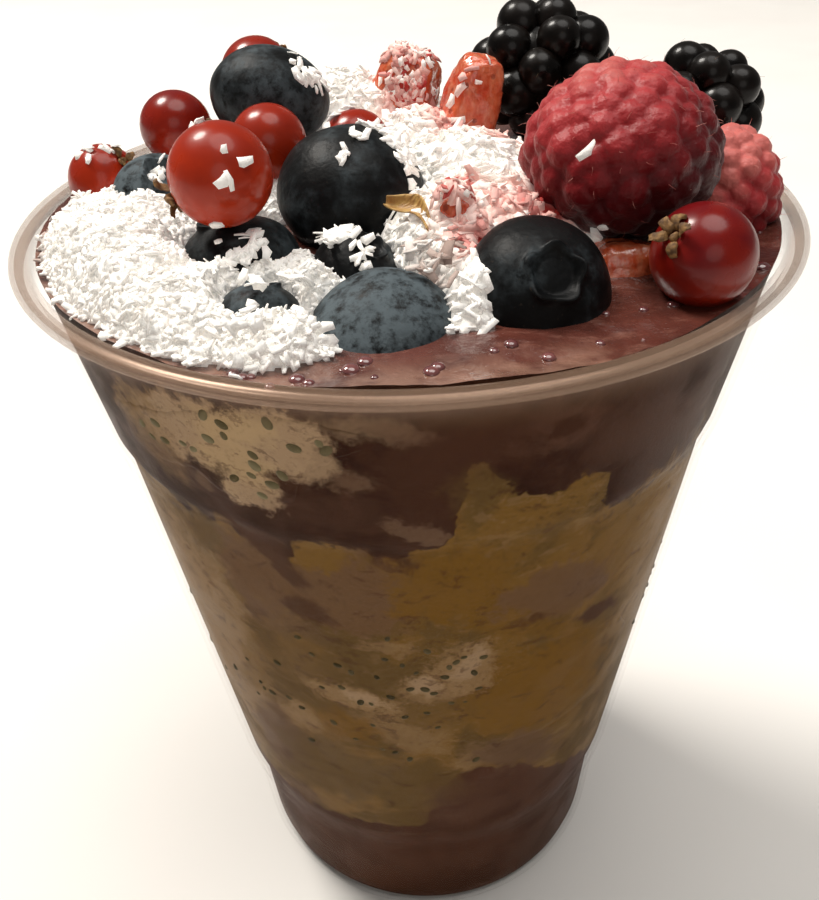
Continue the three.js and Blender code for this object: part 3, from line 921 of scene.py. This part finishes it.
def makeBlueberries():
    skin = blueberrySkin()
    shape = blueberryShape
    for number, values in enumerate(blueberrySet, 1):
        bpy.ops.mesh.primitive_uv_sphere_add(segments=shape["sides"], ring_count=shape["rings"], radius=1)
        berry = added(f"blueberry_{number}")
        crown = math.cos(math.radians(shape["crownAngle"]))
        pick(berry, "FACE", lambda f: f.center.z > crown)
        bpy.ops.mesh.extrude_region_move(TRANSFORM_OT_translate={"value": (0, 0, shape["rise"])})
        bpy.ops.transform.resize(value=(1.05, 1.05, 0.6), center_override=(0, 0, 1 + shape["rise"]))
        bpy.ops.mesh.inset(thickness=shape["rim"])
        bpy.ops.mesh.extrude_region_move(TRANSFORM_OT_translate={"value": (0, 0, -shape["hollow"])})
        middle = (0, 0, 1 + shape["rise"] - shape["hollow"])
        bpy.ops.transform.resize(value=(0.8, 0.8, 0.5), center_override=middle)
        done()
        for vertex in berry.data.vertices:
            across = vertex.co.to_2d().length
            if vertex.co.z > crown + 0.01 and across > 0.2:
                lobe = math.cos(shape["lobes"] * math.atan2(vertex.co.y, vertex.co.x) + number)
                vertex.co += Vector((vertex.co.x, vertex.co.y, 0)) * 0.12 * lobe
                vertex.co.z += shape["lobeRise"] * lobe
        roughen(berry, shape["uneven"], 0.7, number)
        softened(berry, 1)
        shaded(berry, [values["bloom"]] * len(berry.data.vertices))
        place = placedAt(values["at"], (*values["tilt"], 0))
        place = place @ Matrix.Diagonal((1, 1, values["squash"], 1)) @ Matrix.Scale(values["radius"], 4)
        settle(berry, [skin], [f"blueberry_{number}"], place)


makeBlueberries()
print("blueberries made")


# Redcurrants, each with a dried tuft that points to a bearing and an angle above level
redcurrantShape = {
    "sides": 40, "rings": 24, "uneven": 0.02, "petals": 5, "petalLength": 0.42, "petalWidth": 0.13,
}
redcurrantSet = [
    {"at": (-21.4, 28.8, 123.3), "radius": 5.3, "tuft": (150, 20), "dark": 0.5},
    {"at": (-32.1, 18.2, 119), "radius": 5, "tuft": (80, -8), "dark": 0.8},
    {"at": (-39.6, 5.4, 116.1), "radius": 4.6, "tuft": (70, 38), "dark": 0.35},
    {"at": (-19.3, -18.9, 124.3), "radius": 5.5, "tuft": (-95, -22), "dark": 0.15},
    {"at": (-17, 2.4, 121), "radius": 4.8, "tuft": (160, -50), "dark": 0.3},
    {"at": (-6.3, 8, 118.6), "radius": 4.6, "tuft": (20, -60), "dark": 0.5},
    {"at": (29.4, -28.6, 117.5), "radius": 5.3, "tuft": (-62, 34), "dark": 1.0},
]


def redcurrantSkin():
    made, wire, shader = startMaterial(
        "redcurrantSkin", Specular_IOR_Level=0.2, Coat_Weight=0.22, Coat_Roughness=0.12)
    where = wire.place()
    cloud = wire.noise(where, 4, 3).between(0.3, 0.7)
    # the shade value mixes bright orange into dark red; besides each berry's own depth of colour it carries
    # painted light: a brighter orange glow low down and painted shade towards the top
    colour = (wire.shade() * 0.75 + cloud * 0.25 - 0.1).most(0).mixed("#ad3010", "#64080c")
    connect(shader, Base_Color=colour, Roughness=cloud * 0.12 + 0.24)
    bumped(shader, wire.noise(where, 2.5, 2), 0.05)
    return made


def makeTuft(number, length, width):
    # five thin petals that curl back over themselves, dried and crumpled
    petals = []
    for k in range(redcurrantShape["petals"]):
        bpy.ops.mesh.primitive_grid_add(x_subdivisions=3, y_subdivisions=8, size=2)
        petal = added("petal")
        bend = 1.5 + 0.5 * math.sin(k * 2.3 + number)
        for vertex in petal.data.vertices:
            along = (vertex.co.y + 1) / 2
            angle = 0.2 + bend * along
            half = width * (1 - 0.5 * along) * (0.4 + 0.6 * min(1, along * 3))
            outwards = length * along * math.sin(angle) * 0.75 + 0.12
            height = length * along * math.cos(angle * 0.8)
            vertex.co = (vertex.co.x * half, outwards, height)
        finishWith(petal, "SOLIDIFY", thickness=width * 0.22, offset=0)
        roughen(petal, width * 0.6, width * 1.4, number * 5 + k)
        petal.data.transform(Matrix.Rotation(k * 2 * math.pi / 5 + 0.4 * math.sin(k * 5 + number), 4, "Z"))
        petals.append(petal)
    bpy.ops.mesh.primitive_uv_sphere_add(segments=12, ring_count=8, radius=width * 0.8)
    heart = added("tuftHeart")
    roughen(heart, width * 0.5, width, number)
    return joined("driedTuft", [*petals, heart])


def makeRedcurrants():
    skin = redcurrantSkin()
    dried = twoTone("driedTuft", 0.6, 3, "#8f6a3c", "#4f351d", bump=(0.25, 2, 0.08), Roughness=0.75)
    shape = redcurrantShape
    for number, values in enumerate(redcurrantSet, 1):
        bpy.ops.mesh.primitive_uv_sphere_add(segments=shape["sides"], ring_count=shape["rings"], radius=1)
        berry = added(f"redcurrant_{number}")
        pick(berry, "FACE", lambda f: f.center.z > 0.97)
        for lift in (0.04, -0.05):
            bpy.ops.mesh.inset(thickness=0.04)
            bpy.ops.transform.translate(value=(0, 0, lift))
        done()
        roughen(berry, shape["uneven"], 0.8, number)
        softened(berry, 1)
        bearing, above = values["tuft"]
        turn = placedAt((0, 0, 0), (90 - above, 0, bearing))
        # painted light: each berry's colour value rises with height, so its top is painted darker and its
        # bottom brighter orange, as if light glowed through it from below
        shaded(berry, [values["dark"] + 0.3 * (turn @ v.co).z for v in berry.data.vertices])
        berry.data.materials.append(skin)
        tuft = makeTuft(number, shape["petalLength"], shape["petalWidth"])
        tuft.data.materials.append(dried)
        tuft.data.transform(Matrix.Translation((0, 0, 0.96)))
        berry = joined(f"redcurrant_{number}", [berry, tuft])
        place = Matrix.Translation(values["at"]) @ turn @ Matrix.Scale(values["radius"], 4)
        settle(berry, [], [f"redcurrant_{number}"], place)


makeRedcurrants()
print("redcurrants made")


# Raspberries and brambles: drupelets set in a spiral over an egg, with the thin dried styles between them
clusterSet = {
    "raspberry": [
        {"at": (23.8, -13.2, 123.4), "radius": 11.1, "length": 0.84, "tilt": (-8, 6, 20), "count": 176,
         "bead": 2.4, "sunk": 1.1, "hairs": 170, "fine": 2, "fused": 0.22, "glow": 0},
        {"at": (37.8, -7.8, 116.4), "radius": 6.9, "length": 1.2, "tilt": (14, -12, 40), "count": 80,
         "bead": 1.95, "sunk": 1.02, "hairs": 70, "fine": 2, "fused": 0.18, "glow": 0.45},
    ],
    "bramble": [
        {"at": (20.5, 25.3, 123.6), "radius": 9.8, "length": 0.94, "tilt": (10, -8, 15), "count": 23,
         "bead": 3.35, "sunk": 0.88, "hairs": 14, "fine": 4, "fused": 0, "glow": 0},
        {"at": (39.6, 11.4, 121.3), "radius": 8, "length": 0.96, "tilt": (-6, 20, 70), "count": 21,
         "bead": 2.95, "sunk": 0.88, "hairs": 12, "fine": 4, "fused": 0, "glow": 0},
    ],
}
lightWay = Vector((-0.4, -0.05, 0.92))  # the way the painted light comes from: raspberries are painted paler on this side and darker on the far side
hairSet = {"length": 1.1, "thick": 0.03, "bend": 0.72}
# for the raspberries' colour: a base tone, how much the side facing lightWay is painted paler as painted
# light, and how much drupelet tops are paler and the creases between them darker, partly pale fine hairs and
# partly painted shade
clusterShape = {
    "spin": 0.08, "narrow": 0.08, "sizes": (0.92, 1.1), "depths": (-0.12, 0.16), "swell": 1.06, "heart": 1.02,
    "ripeAndPaintedLight": 0.33, "lit": 0.54, "bulge": 0.12,
}


def raspberrySkin():
    made, wire, shader = startMaterial(
        "raspberrySkin", Specular_IOR_Level=0.25, Sheen_Weight=0.12, Sheen_Roughness=0.4)
    where = wire.place()
    cloud = wire.noise(where, 2.2, 4, 0.6) - 0.5
    # the shade value carries painted light and shade: near black on the shaded side and in the creases, pale
    # pink where the berry is painted lit
    colour = (wire.shade() + cloud * 0.25).ramp(
        (0, "#220306"), (0.3, "#4b060c"), (0.55, "#7c1016"), (0.8, "#a83235"), (1, "#c2665f"))
    connect(shader, Base_Color=colour, Roughness=cloud * 0.2 + 0.42)
    bumped(shader, wire.noise(where, 0.45, 4), 0.12)
    return made


def oneHair():
    thick = hairSet["thick"]
    bpy.ops.mesh.primitive_cone_add(vertices=4, radius1=thick, radius2=thick * 0.4, depth=1)
    hair = added("oneHair")
    pick(hair, "FACE", lambda f: abs(f.normal.z) < 0.5)
    bpy.ops.mesh.subdivide(number_cuts=2)
    done()
    for vertex in hair.data.vertices:
        along = vertex.co.z + 0.5
        bend = hairSet["bend"] * along * along
        vertex.co = (vertex.co.x + bend, vertex.co.y, along * hairSet["length"])
    return hair


def makeCluster(name, kind, values, number, skin, hairs):
    draw = random.Random(50 + number)
    count, radius, length = values["count"], values["radius"], values["length"]
    beads, tufts = [], []
    core = radius - values["bead"] * values["sunk"]
    shape = clusterShape
    for i in range(count):
        height = 1 - 2 * (i + 0.5) / count
        angle = i * math.pi * (3 - math.sqrt(5)) + draw.uniform(-shape["spin"], shape["spin"])
        across = math.sqrt(1 - height * height)
        way = Vector((across * math.cos(angle), across * math.sin(angle), height))
        narrow = 1 - shape["narrow"] * height
        middle = Vector((way.x * core * narrow, way.y * core * narrow, way.z * core * length))
        outwards = Vector((way.x, way.y, way.z / length)).normalized()
        size = values["bead"] * narrow * draw.uniform(*shape["sizes"])
        middle += outwards * draw.uniform(*shape["depths"])
        beads.append(Matrix.Translation(middle) @ aimed(outwards, angle) @ Matrix.Scale(size, 4))
        if i % max(1, count // values["hairs"]) == 0:
            lean = Vector([draw.uniform(-1, 1) for axis in range(3)])
            foot = middle + outwards * size * 0.9
            tufts.append(Matrix.Translation(foot) @ aimed(outwards + lean, draw.uniform(0, 6.3)))
    bpy.ops.mesh.primitive_ico_sphere_add(subdivisions=values["fine"], radius=1)
    bead = added("drupelet")
    for vertex in bead.data.vertices:
        vertex.co.z *= shape["swell"] if vertex.co.z > 0 else 1
    cluster = repeated(name, bead, beads)
    bpy.ops.mesh.primitive_uv_sphere_add(segments=40, ring_count=24, radius=core * shape["heart"])
    heart = added("heart")
    heart.data.transform(Matrix.Diagonal((1, 1, length, 1)))
    cluster = joined(name, [cluster, heart])
    if values["fused"]:
        finishWith(cluster, "REMESH", mode="VOXEL", voxel_size=values["fused"], adaptivity=0)
        finishWith(cluster, "SMOOTH", factor=0.5, iterations=3)
    place = placedAt(values["at"], values["tilt"])
    # each vertex's colour value: base tone, a whole berry lighter by its glow value, painted light on the side
    # facing lightWay, and paler drupelet tops with painted shade in the creases
    ripeAndPaintedLight = []
    for vertex in cluster.data.vertices:
        away = vertex.co.copy()
        away.z /= length
        bulge = (away.length / radius - 0.94) / 0.08
        lit = (place.to_3x3() @ away).dot(lightWay) / radius
        ripeAndPaintedLight.append(shape["ripeAndPaintedLight"] + values["glow"] + shape["lit"] * lit + shape["bulge"] * bulge)
    shaded(cluster, ripeAndPaintedLight)
    cluster.data.materials.append(skin)
    styles = repeated("styles", oneHair(), tufts)
    styles.data.materials.append(hairs)
    cluster = joined(name, [cluster, styles])
    settle(cluster, [], [name], place)


def makeClusters():
    brambleSkin = twoTone(
        "brambleSkin", 3, 3, "#080605", "#130e0b", rough=(0.12, 0.26), bump=(1.2, 3, 0.06),
        Specular_IOR_Level=0.12, Coat_Weight=0.16, Coat_Roughness=0.14)
    redHair = twoTone("raspberryHair", 2, 2, "#c98478", "#a85048", span=0.15, Roughness=0.5)
    brownHair = twoTone("brambleHair", 2, 2, "#7a5f42", "#4d3a2a", span=0.15, Roughness=0.5)
    paints = {"raspberry": (raspberrySkin(), redHair), "bramble": (brambleSkin, brownHair)}
    for kind, berries in clusterSet.items():
        for number, values in enumerate(berries, 1):
            makeCluster(f"{kind}_{number}", kind, values, number, *paints[kind])


makeClusters()
print("raspberries and brambles made")


# Strawberry pieces: cut blocks with soft corners, narrower at the top
strawberrySet = [
    {"at": (9.4, 14.3, 121.9), "half": (4.2, 3.8, 6.2), "turn": (10, 14, 20), "taper": 0.3},
    {"at": (0.6, 25.8, 121.2), "half": (5.2, 4.4, 5.4), "turn": (-8, 20, -25), "taper": 0.25},
    {"at": (23.5, -21.4, 113.6), "half": (4.4, 3.6, 2.4), "turn": (-14, 4, 10), "taper": 0.2},
    {"at": (5.1, -20, 120.2), "half": (1.7, 1.3, 0.8), "turn": (20, 12, 50), "taper": 0.2},
]


def strawberryFlesh():
    made, wire, shader = startMaterial("strawberryFlesh", Coat_Weight=0.8, Coat_Roughness=0.08)
    where = wire.place()
    cloud = wire.noise(where, 3.2, 4).between(0.3, 0.7)
    fibre = wire.noise(where, 0.8, 3, 0.6, (1, 1, 0.25)).between(0.4, 0.7)
    colour = cloud.mixed("#c4391a", "#d9663a")
    colour = (fibre * 0.4).mixed(colour, "#e8a580")
    pits = wire.node("TexVoronoi", inputs={"Vector": where, "Scale": 1 / 2.1}).between(0.22, 0.12)
    colour = (pits * 0.6).mixed(colour, "#6f170b")
    connect(shader, Base_Color=colour, Roughness=cloud * 0.12 + 0.14)
    bumped(shader, wire.noise(where, 0.9, 4) - pits * 0.4, 0.25)
    return made


def makeStrawberries():
    flesh = strawberryFlesh()
    for number, values in enumerate(strawberrySet, 1):
        bpy.ops.mesh.primitive_cube_add(size=2)
        piece = added(f"strawberry_{number}")
        pick(piece, "FACE", lambda f: True)
        bpy.ops.mesh.subdivide(number_cuts=7)
        done()
        for vertex in piece.data.vertices:
            rounded = vertex.co * sum(abs(c) ** 4 for c in vertex.co) ** -0.25
            narrow = 1 - values["taper"] * (rounded.z + 1) * 0.5
            half = values["half"]
            vertex.co = (rounded.x * half[0] * narrow, rounded.y * half[1] * narrow, rounded.z * half[2])
        softened(piece, 2)
        roughen(piece, 0.45, 3.6, number)
        roughen(piece, 0.12, 0.9, number + 9)
        settle(piece, [flesh], [f"strawberry_{number}"], placedAt(values["at"], values["turn"]))


makeStrawberries()
print("strawberry pieces made")


# Shredded coconut: heaps of mounds with a place, two half widths and a height, and dips that bare the
# fruit beneath, with a place and a reach, all covered in loose shreds
heapFloor = 114.1
heapReach, heapEdge = 44.3, 4  # where the heaps end, and the width over which they fall to it
heapRound = 0.7  # how blunt each mound is
dipInner, dipSoft = 0.72, 0.42  # where a dip is bare and how it rises to the heap, as shares of its reach
heapSet = {
    "coconut_left": {
        "mounds": [
            (-34, -11, 10, 12, 5.4), (-30, -21, 11, 12, 6), (-22.5, -31, 10, 9, 4.4),
            (-13.5, -35.4, 7, 5.2, 2.6), (-30, 2, 9, 10, 4.6), (-12.5, -24.5, 8, 6, 3), (-17, 2, 9, 7, 3.6),
        ],
        "dips": [(-18.8, -17, 7.6), (-15.1, -31.2, 4.4), (-5.7, -21, 5), (-3, -32.4, 8)],
        "shreds": 8200, "long": 1.25, "wide": 1.15,
    },
    "coconut_centre": {
        "mounds": [(5.5, -26, 6, 9, 4.6), (9, -16, 12.5, 10, 7.4), (8, -1, 12, 11, 8), (2, 13, 11, 8, 7.4)],
        "dips": [(-5.7, -21, 5), (-3, -32.4, 8.4)],
        "shreds": 2500, "long": 2.1, "wide": 1.9,
    },
    "coconut_rear": {
        "mounds": [(-8, 26, 11, 9, 10), (-6, 33, 15, 8, 7.4), (-19, 23, 9, 11, 5.2)],
        "dips": [],
        "shreds": 1500, "long": 1.8, "wide": 1.3,
    },
}
coreSet = {
    "cells": 160, "size": 92, "under": 0.35, "skirt": 2.5, "lumps": 1.3, "lumpSize": 3.2, "grain": 0.35,
    "grainSize": 0.8,
}
shredSet = {"wide": 0.22, "thick": 0.1, "lift": 0.12, "bend": 0.2, "crumbs": 0.35, "into": 0.2, "seed": 21}
# where fruit juice has stained the coconut: place, reach and strength, with purple of the acai below 0
stainSet = [
    (5.4, -14.5, 2.0, 1.0), (13.5, -10, 2.6, 0.8), (6.5, -25, 2.8, 0.9), (13.5, -18.5, 3.4, 0.6),
    (8, -20, 6, 0.35), (9, 8, 5, 0.85), (3, 19, 6, 0.8), (12, 1, 3, 0.5), (17, -18, 3, 0.6),
    (1.5, -27, 3.5, -0.35),
    (-43, -6, 3, -0.6), (-44, 2, 3, -0.6), (-42.5, -14, 2, -0.35),
]


def heapHeight(heap, x, y):
    heights = [0]
    for atX, atY, halfX, halfY, rise in heap["mounds"]:
        away = ((x - atX) / halfX) ** 2 + ((y - atY) / halfY) ** 2
        if away < 1:
            heights.append(rise * (1 - away) ** heapRound)
    rim = min(1, max(0, (heapReach - math.hypot(x, y)) / heapEdge))
    bare = 1
    for atX, atY, reach in heap["dips"]:
        bare = min(bare, max(0, (math.hypot(x - atX, y - atY) / reach - dipInner) / dipSoft))
    return max(heights) * rim * (2 - rim) * bare


def stainAt(x, y):
    total = 0.06 * unevenAt(x, y, 3, 3)
    for atX, atY, reach, strength in stainSet:
        away = ((x - atX) ** 2 + (y - atY) ** 2) / reach ** 2
        total += strength * math.exp(-away) * (1 + 0.8 * unevenAt(x, y, 7, 1.8))
    return max(-1, min(1, total))


def coconutPaint():
    # painted light: the coconut glows faintly in its own colour, which fills the shade in the gaps between the
    # shreds with painted light
    made, wire, shader = startMaterial("coconutFlesh", Roughness=0.8, Emission_Strength=0.1)
    ramp = (wire.shade() * 0.5 + 0.5).ramp(
        (0, "#7a5d52"), (0.3, "#b3a097"), (0.5, "#fffdf8"), (0.58, "#fcf5ee"), (0.75, "#eec2b8"),
        (1, "#ab302a"))
    fleck = wire.noise(wire.place(), 1.1, 3).between(0.55, 0.8)
    connect(shader, Base_Color=(fleck * 0.15).mixed(ramp, "#e2d9ca"), Emission_Color=ramp)
    bumped(shader, wire.noise(wire.place(), 0.35, 2), 0.08)
    return made


def makeCore(name, values):
    cells = coreSet["cells"]
    bpy.ops.mesh.primitive_grid_add(x_subdivisions=cells, y_subdivisions=cells, size=coreSet["size"])
    core = added(name)
    pick(core, "FACE", lambda f: heapHeight(values, f.center.x, f.center.y) <= 0)
    bpy.ops.mesh.delete(type="FACE")
    bpy.ops.mesh.select_all(action="SELECT")
    bpy.ops.mesh.region_to_loop()
    bpy.ops.mesh.extrude_edges_move(TRANSFORM_OT_translate={"value": (0, 0, -1)})
    bpy.ops.mesh.edge_face_add()
    done()
    spots, weights = [], []
    for vertex in core.data.vertices:
        x, y = vertex.co.x, vertex.co.y
        if vertex.co.z < -0.5:
            vertex.co.z = heapFloor - coreSet["skirt"]
            continue
        height = heapHeight(values, x, y)
        lumps = coreSet["lumps"] * unevenAt(x, y, 1, coreSet["lumpSize"])
        grain = coreSet["grain"] * unevenAt(x, y, 4, coreSet["grainSize"])
        bottom = heapFloor - coreSet["under"]
        vertex.co.z = bottom + height + (lumps + grain) * (0.3 + 0.7 * min(1, height / 2))
        slope = heapSlope(values, x, y)
        spots.append((vertex.co.copy(), slope))
        weights.append(slope.length)
    shaded(core, [stainAt(v.co.x, v.co.y) for v in core.data.vertices])
    return core, spots, weights


def heapSlope(heap, x, y):
    # the way up from the heap's surface, longer where it is steeper
    step = 0.4
    acrossX = heapHeight(heap, x - step, y) - heapHeight(heap, x + step, y)
    acrossY = heapHeight(heap, x, y - step) - heapHeight(heap, x, y + step)
    return Vector((acrossX / 2 / step, acrossY / 2 / step, 1))


def oneShred():
    # a thin sliver, one long, bent in the middle and narrower at its ends
    bpy.ops.mesh.primitive_cube_add(size=1)
    shred = added("oneShred")
    pick(shred, "FACE", lambda f: f.normal.x > 0.5)
    bpy.ops.mesh.extrude_region_move(TRANSFORM_OT_translate={"value": (1, 0, 0)})
    done()
    for vertex in shred.data.vertices:
        along = (vertex.co.x + 0.5) / 2
        narrow = 0.5 + 0.5 * math.sin(math.pi * (0.1 + 0.75 * along))
        rise = shredSet["bend"] * (4 * along * (1 - along) - 0.5)
        width, thick = shredSet["wide"] * 2 * narrow, shredSet["thick"] * 2 * narrow
        vertex.co = (along - 0.5, vertex.co.y * width + rise * 0.5, vertex.co.z * thick + rise * 0.4)
    return shred


def oneCrumb():
    # a short flat flake with uneven corners
    bpy.ops.mesh.primitive_cube_add(size=1)
    crumb = added("oneCrumb")
    for vertex in crumb.data.vertices:
        ragged = 1 + 0.5 * noise.noise(vertex.co * 3)
        vertex.co = (vertex.co.x * 0.6 * ragged, vertex.co.y * 0.75 / ragged, vertex.co.z * 0.28)
    return crumb


def insideFruit(point):
    for values in blueberrySet + redcurrantSet + sum(clusterSet.values(), []):
        away = point - Vector(values["at"])
        away.z /= values.get("squash", values.get("length", 1))
        if away.length < values["radius"] - shredSet["into"]:
            return True
    return False


def shredPlace(draw, point, normal, size, wide=1.0):
    spin = draw.uniform(0, 2 * math.pi)
    lean = Vector((draw.gauss(0, 0.42), draw.gauss(0, 0.42), 0))
    turn = aimed(normal + lean, spin) @ Matrix.Rotation(draw.gauss(0, 0.22), 4, "Y")
    sizes = Matrix.Diagonal((size, wide * draw.uniform(0.7, 1.7), draw.uniform(0.7, 1.4), 1))
    return Matrix.Translation(point) @ turn @ sizes


def makeHeap(name, values, paint):
    draw = random.Random(shredSet["seed"] + len(name))
    core, spots, weights = makeCore(name, values)
    kinds = {"slivers": ([], []), "crumbs": ([], [])}
    for spot, slope in draw.choices(spots, weights, k=values["shreds"]):
        point = spot + Vector((draw.uniform(-0.3, 0.3), draw.uniform(-0.3, 0.3), 0))
        point.z += shredSet["lift"] * draw.uniform(-0.5, 2.0)
        if insideFruit(point):
            continue
        crumb = draw.random() < shredSet["crumbs"]
        size = draw.uniform(0.4, 1.2) if crumb else values["long"] * draw.uniform(0.4, 1.7)
        places, shades = kinds["crumbs" if crumb else "slivers"]
        places.append(shredPlace(draw, point, slope.normalized(), size, values["wide"]))
        shades.append(max(-1, min(1, stainAt(point.x, point.y) + draw.gauss(0, 0.05))))
    slivers = repeated("slivers", oneShred(), *kinds["slivers"])
    crumbs = repeated("crumbs", oneCrumb(), *kinds["crumbs"])
    for part in (core, slivers, crumbs):
        part.data.materials.append(paint)
    heap = joined(name, [core, slivers, crumbs])
    settle(heap, [], [name])


coconutGlowPaint = coconutPaint()
for heapName, heapValues in heapSet.items():
    makeHeap(heapName, heapValues, coconutGlowPaint)
    print(heapName, "made")

# Loose shreds on the fruit: place, spread, number, length and stain
looseSet = [
    (-12.5, 12.6, 2.2, 26, 1.8, 0), (-5.5, -9.1, 0.9, 5, 1.7, 0), (-6.5, -12.1, 0.9, 5, 1.5, 0),
    (0.9, -10.6, 0.9, 7, 1.8, 0), (-1.0, -7, 1.5, 26, 1.8, 0), (-3.8, -5.4, 1.0, 8, 1.8, 0),
    (-21.2, -17.6, 1.0, 4, 1.2, 0), (-29.9, -5.0, 1.3, 8, 1.3, 0), (-40.6, 4.0, 1.2, 7, 1.3, 0),
    (-37.7, 4.8, 1.2, 6, 1.3, 0), (-6.6, -20.5, 2.4, 26, 2.3, 0), (-8.2, -20, 1.2, 7, 2.0, 0),
    (-5.4, -23, 1.2, 6, 2.0, 0), (18.6, -21.8, 0.02, 1, 2.4, 0), (0.6, 25.6, 3.6, 110, 1.7, 0.45),
    (8.6, 9.5, 2.6, 36, 1.8, 0.4), (4.8, -20.2, 2.4, 46, 1.9, 0.5), (-2.6, 3.6, 1.8, 10, 1.8, 0),
    (-9.5, 8.5, 2.0, 10, 1.8, 0), (-14.9, -33, 1.2, 7, 1.4, 0), (-45.5, -3, 2.2, 16, 1.9, -0.3),
    (-45.2, -8, 1.8, 12, 1.9, -0.2), (2.3, -24, 2.6, 16, 2.2, -0.3), (2.4, -30, 2.2, 12, 2.2, -0.35),
    (-2.4, -5.6, 1.3, 16, 1.9, 0), (-0.2, -9.4, 1.1, 14, 1.9, 0), (-16, -40.3, 3, 14, 1.5, 0),
    (-27, -35.5, 3, 12, 1.5, 0),
    (-9, -37.8, 1.6, 9, 1.5, 0), (-16.5, -24.5, 2.2, 26, 1.6, 0), (-11.5, -30, 1.4, 14, 1.6, 0),
]
dropFrom, throwFrom = 150, 20
# the same on the front of upright pieces, with the height of what they hit
thrownSet = [
    (0.6, 22.5, 121.5, 3.0, 90, 1.7, 0.5), (6.5, 10.5, 119, 1.8, 26, 1.8, 0.45),
    (1.4, -8.5, 122.5, 1.6, 12, 1.9, 0), (-18, -21.5, 116.5, 2.8, 16, 1.4, 0),
    (20.5, -20, 116.3, 1.2, 6, 1.7, 0.1), (-14.6, -33.5, 115, 1.6, 6, 1.3, 0),
]


def makeLooseShreds():
    draw = random.Random(shredSet["seed"])
    points, faces = [], []
    kinds = ("blueberry", "redcurrant", "raspberry", "bramble", "strawberry", "coconut", "acai")
    for piece in scene.objects:
        kind = piece.name.split("_")[0]
        if kind in kinds and (kind != "coconut" or piece.name in heapSet):
            first = len(points)
            points += [v.co / mm for v in piece.data.vertices]
            faces += [[first + i for i in p.vertices] for p in piece.data.polygons]
    ground = BVHTree.FromPolygons(points, faces)
    places, shades = [], []
    down, ahead = Vector((0, 0, -1)), Vector((0, 0.9, -0.45))
    aims = [(Vector((x, y, dropFrom)), down, *rest) for x, y, *rest in looseSet]
    aims += [(Vector((x, y, z)) - ahead * throwFrom, ahead, *rest) for x, y, z, *rest in thrownSet]
    for start, way, spread, count, long, stain in aims:
        for i in range(count):
            side = Vector((draw.gauss(0, spread * 0.55), draw.gauss(0, spread * 0.55), 0))
            if way is ahead:
                side = Vector((side.x, 0, side.y))
            point, normal, face, far = ground.ray_cast(start + side, way)
            size = long * draw.uniform(0.6, 1.4)
            shade = max(-1, min(1, stain + draw.gauss(0, abs(stain) * 0.5 + 0.03)))
            if point is None or normal.dot(way) > -0.15:
                continue
            places.append(shredPlace(draw, point + normal * 0.12, normal, size, 1.7))
            shades.append(shade)
    shreds = repeated("looseShreds", oneShred(), places, shades)
    settle(shreds, [coconutGlowPaint])


makeLooseShreds()
print("loose shreds dropped")


# A curled tan flake on the centre heap
flakeSet = {
    "at": (0.5, -18.2, 119.6), "turn": (30, 6, -20), "long": 6, "wide": 2.5, "thick": 0.24, "tail": 2.6,
}


def makeFlake():
    bpy.ops.mesh.primitive_grid_add(x_subdivisions=18, y_subdivisions=8, size=2)
    flake = added("tanFlake")
    for vertex in flake.data.vertices:
        u, v = vertex.co.x, vertex.co.y
        half = flakeSet["wide"] / 2 * (1 - 0.55 * u * u) * (1 + 0.2 * noise.noise(Vector((u * 2, v, 0))))
        curl = 0.9 * v * v + 0.35 * math.sin(2.4 * u)
        vertex.co = (u * flakeSet["long"] / 2, v * half - flakeSet["tail"] * max(0, u) ** 2, curl)
    finishWith(flake, "SOLIDIFY", thickness=flakeSet["thick"], offset=0)
    softened(flake, 1)
    paint = twoTone(
        "driedFlake", 1.2, 3, "#bf9a58", "#966c38", bump=(0, 0, 0.1), stretch=(1, 3, 1), Roughness=0.5)
    settle(flake, [paint], place=placedAt(flakeSet["at"], flakeSet["turn"]))


makeFlake()


# Small clear bubbles and drops on the wet acai, at their places and scattered along the rim
bubbleSet = {
    "places": [
        (-16.3, -41.2, 0.7), (-14.7, -41.9, 0.5), (-5.6, -41.4, 0.9), (-9.3, -43.3, 0.6), (-12.7, -44, 0.5),
        (1.7, -42.7, 0.8), (9.3, -38.4, 0.7), (26.3, -31.1, 0.6), (37.9, -23.1, 0.9), (23.2, -31.8, 0.5),
        (17.7, -38.1, 0.5), (7.6, -39.4, 0.5), (-3.4, -43.2, 0.4), (36.4, -22.4, 0.5),
        (-4.3, -40.2, 0.8), (2.3, -42, 0.7), (-10.4, -42.6, 0.8), (-15.4, -42, 0.6), (12.5, -40.5, 0.7),
    ],
    "scattered": 46, "from": 36, "to": 44.3, "half": (0.18, 0.45), "seed": 8, "flat": 0.55,
}


def makeBubbles():
    draw = random.Random(bubbleSet["seed"])
    spots = list(bubbleSet["places"])
    for i in range(bubbleSet["scattered"]):
        angle, radius = draw.uniform(0, 2 * math.pi), draw.uniform(bubbleSet["from"], bubbleSet["to"])
        spots.append((radius * math.cos(angle), radius * math.sin(angle), draw.uniform(*bubbleSet["half"])))
    places = []
    for x, y, half in spots:
        point = Vector((x, y, surfaceHeight(x, y)))
        places.append(Matrix.Translation(point) @ Matrix.Diagonal((half, half, half * bubbleSet["flat"], 1)))
    bpy.ops.mesh.primitive_uv_sphere_add(segments=20, ring_count=12, radius=1)
    bubble = added("oneBubble")
    roughen(bubble, 0.12, 0.9)
    piece = repeated("wetBubbles", bubble, places)
    paint = twoTone(
        "wetBubble", 3, 2, "#7a4a48", "#5c3031", rough=(0.05, 0.1), Coat_Weight=1.0, Coat_Roughness=0.03)
    settle(piece, [paint])


makeBubbles()
print("flake and bubbles made")
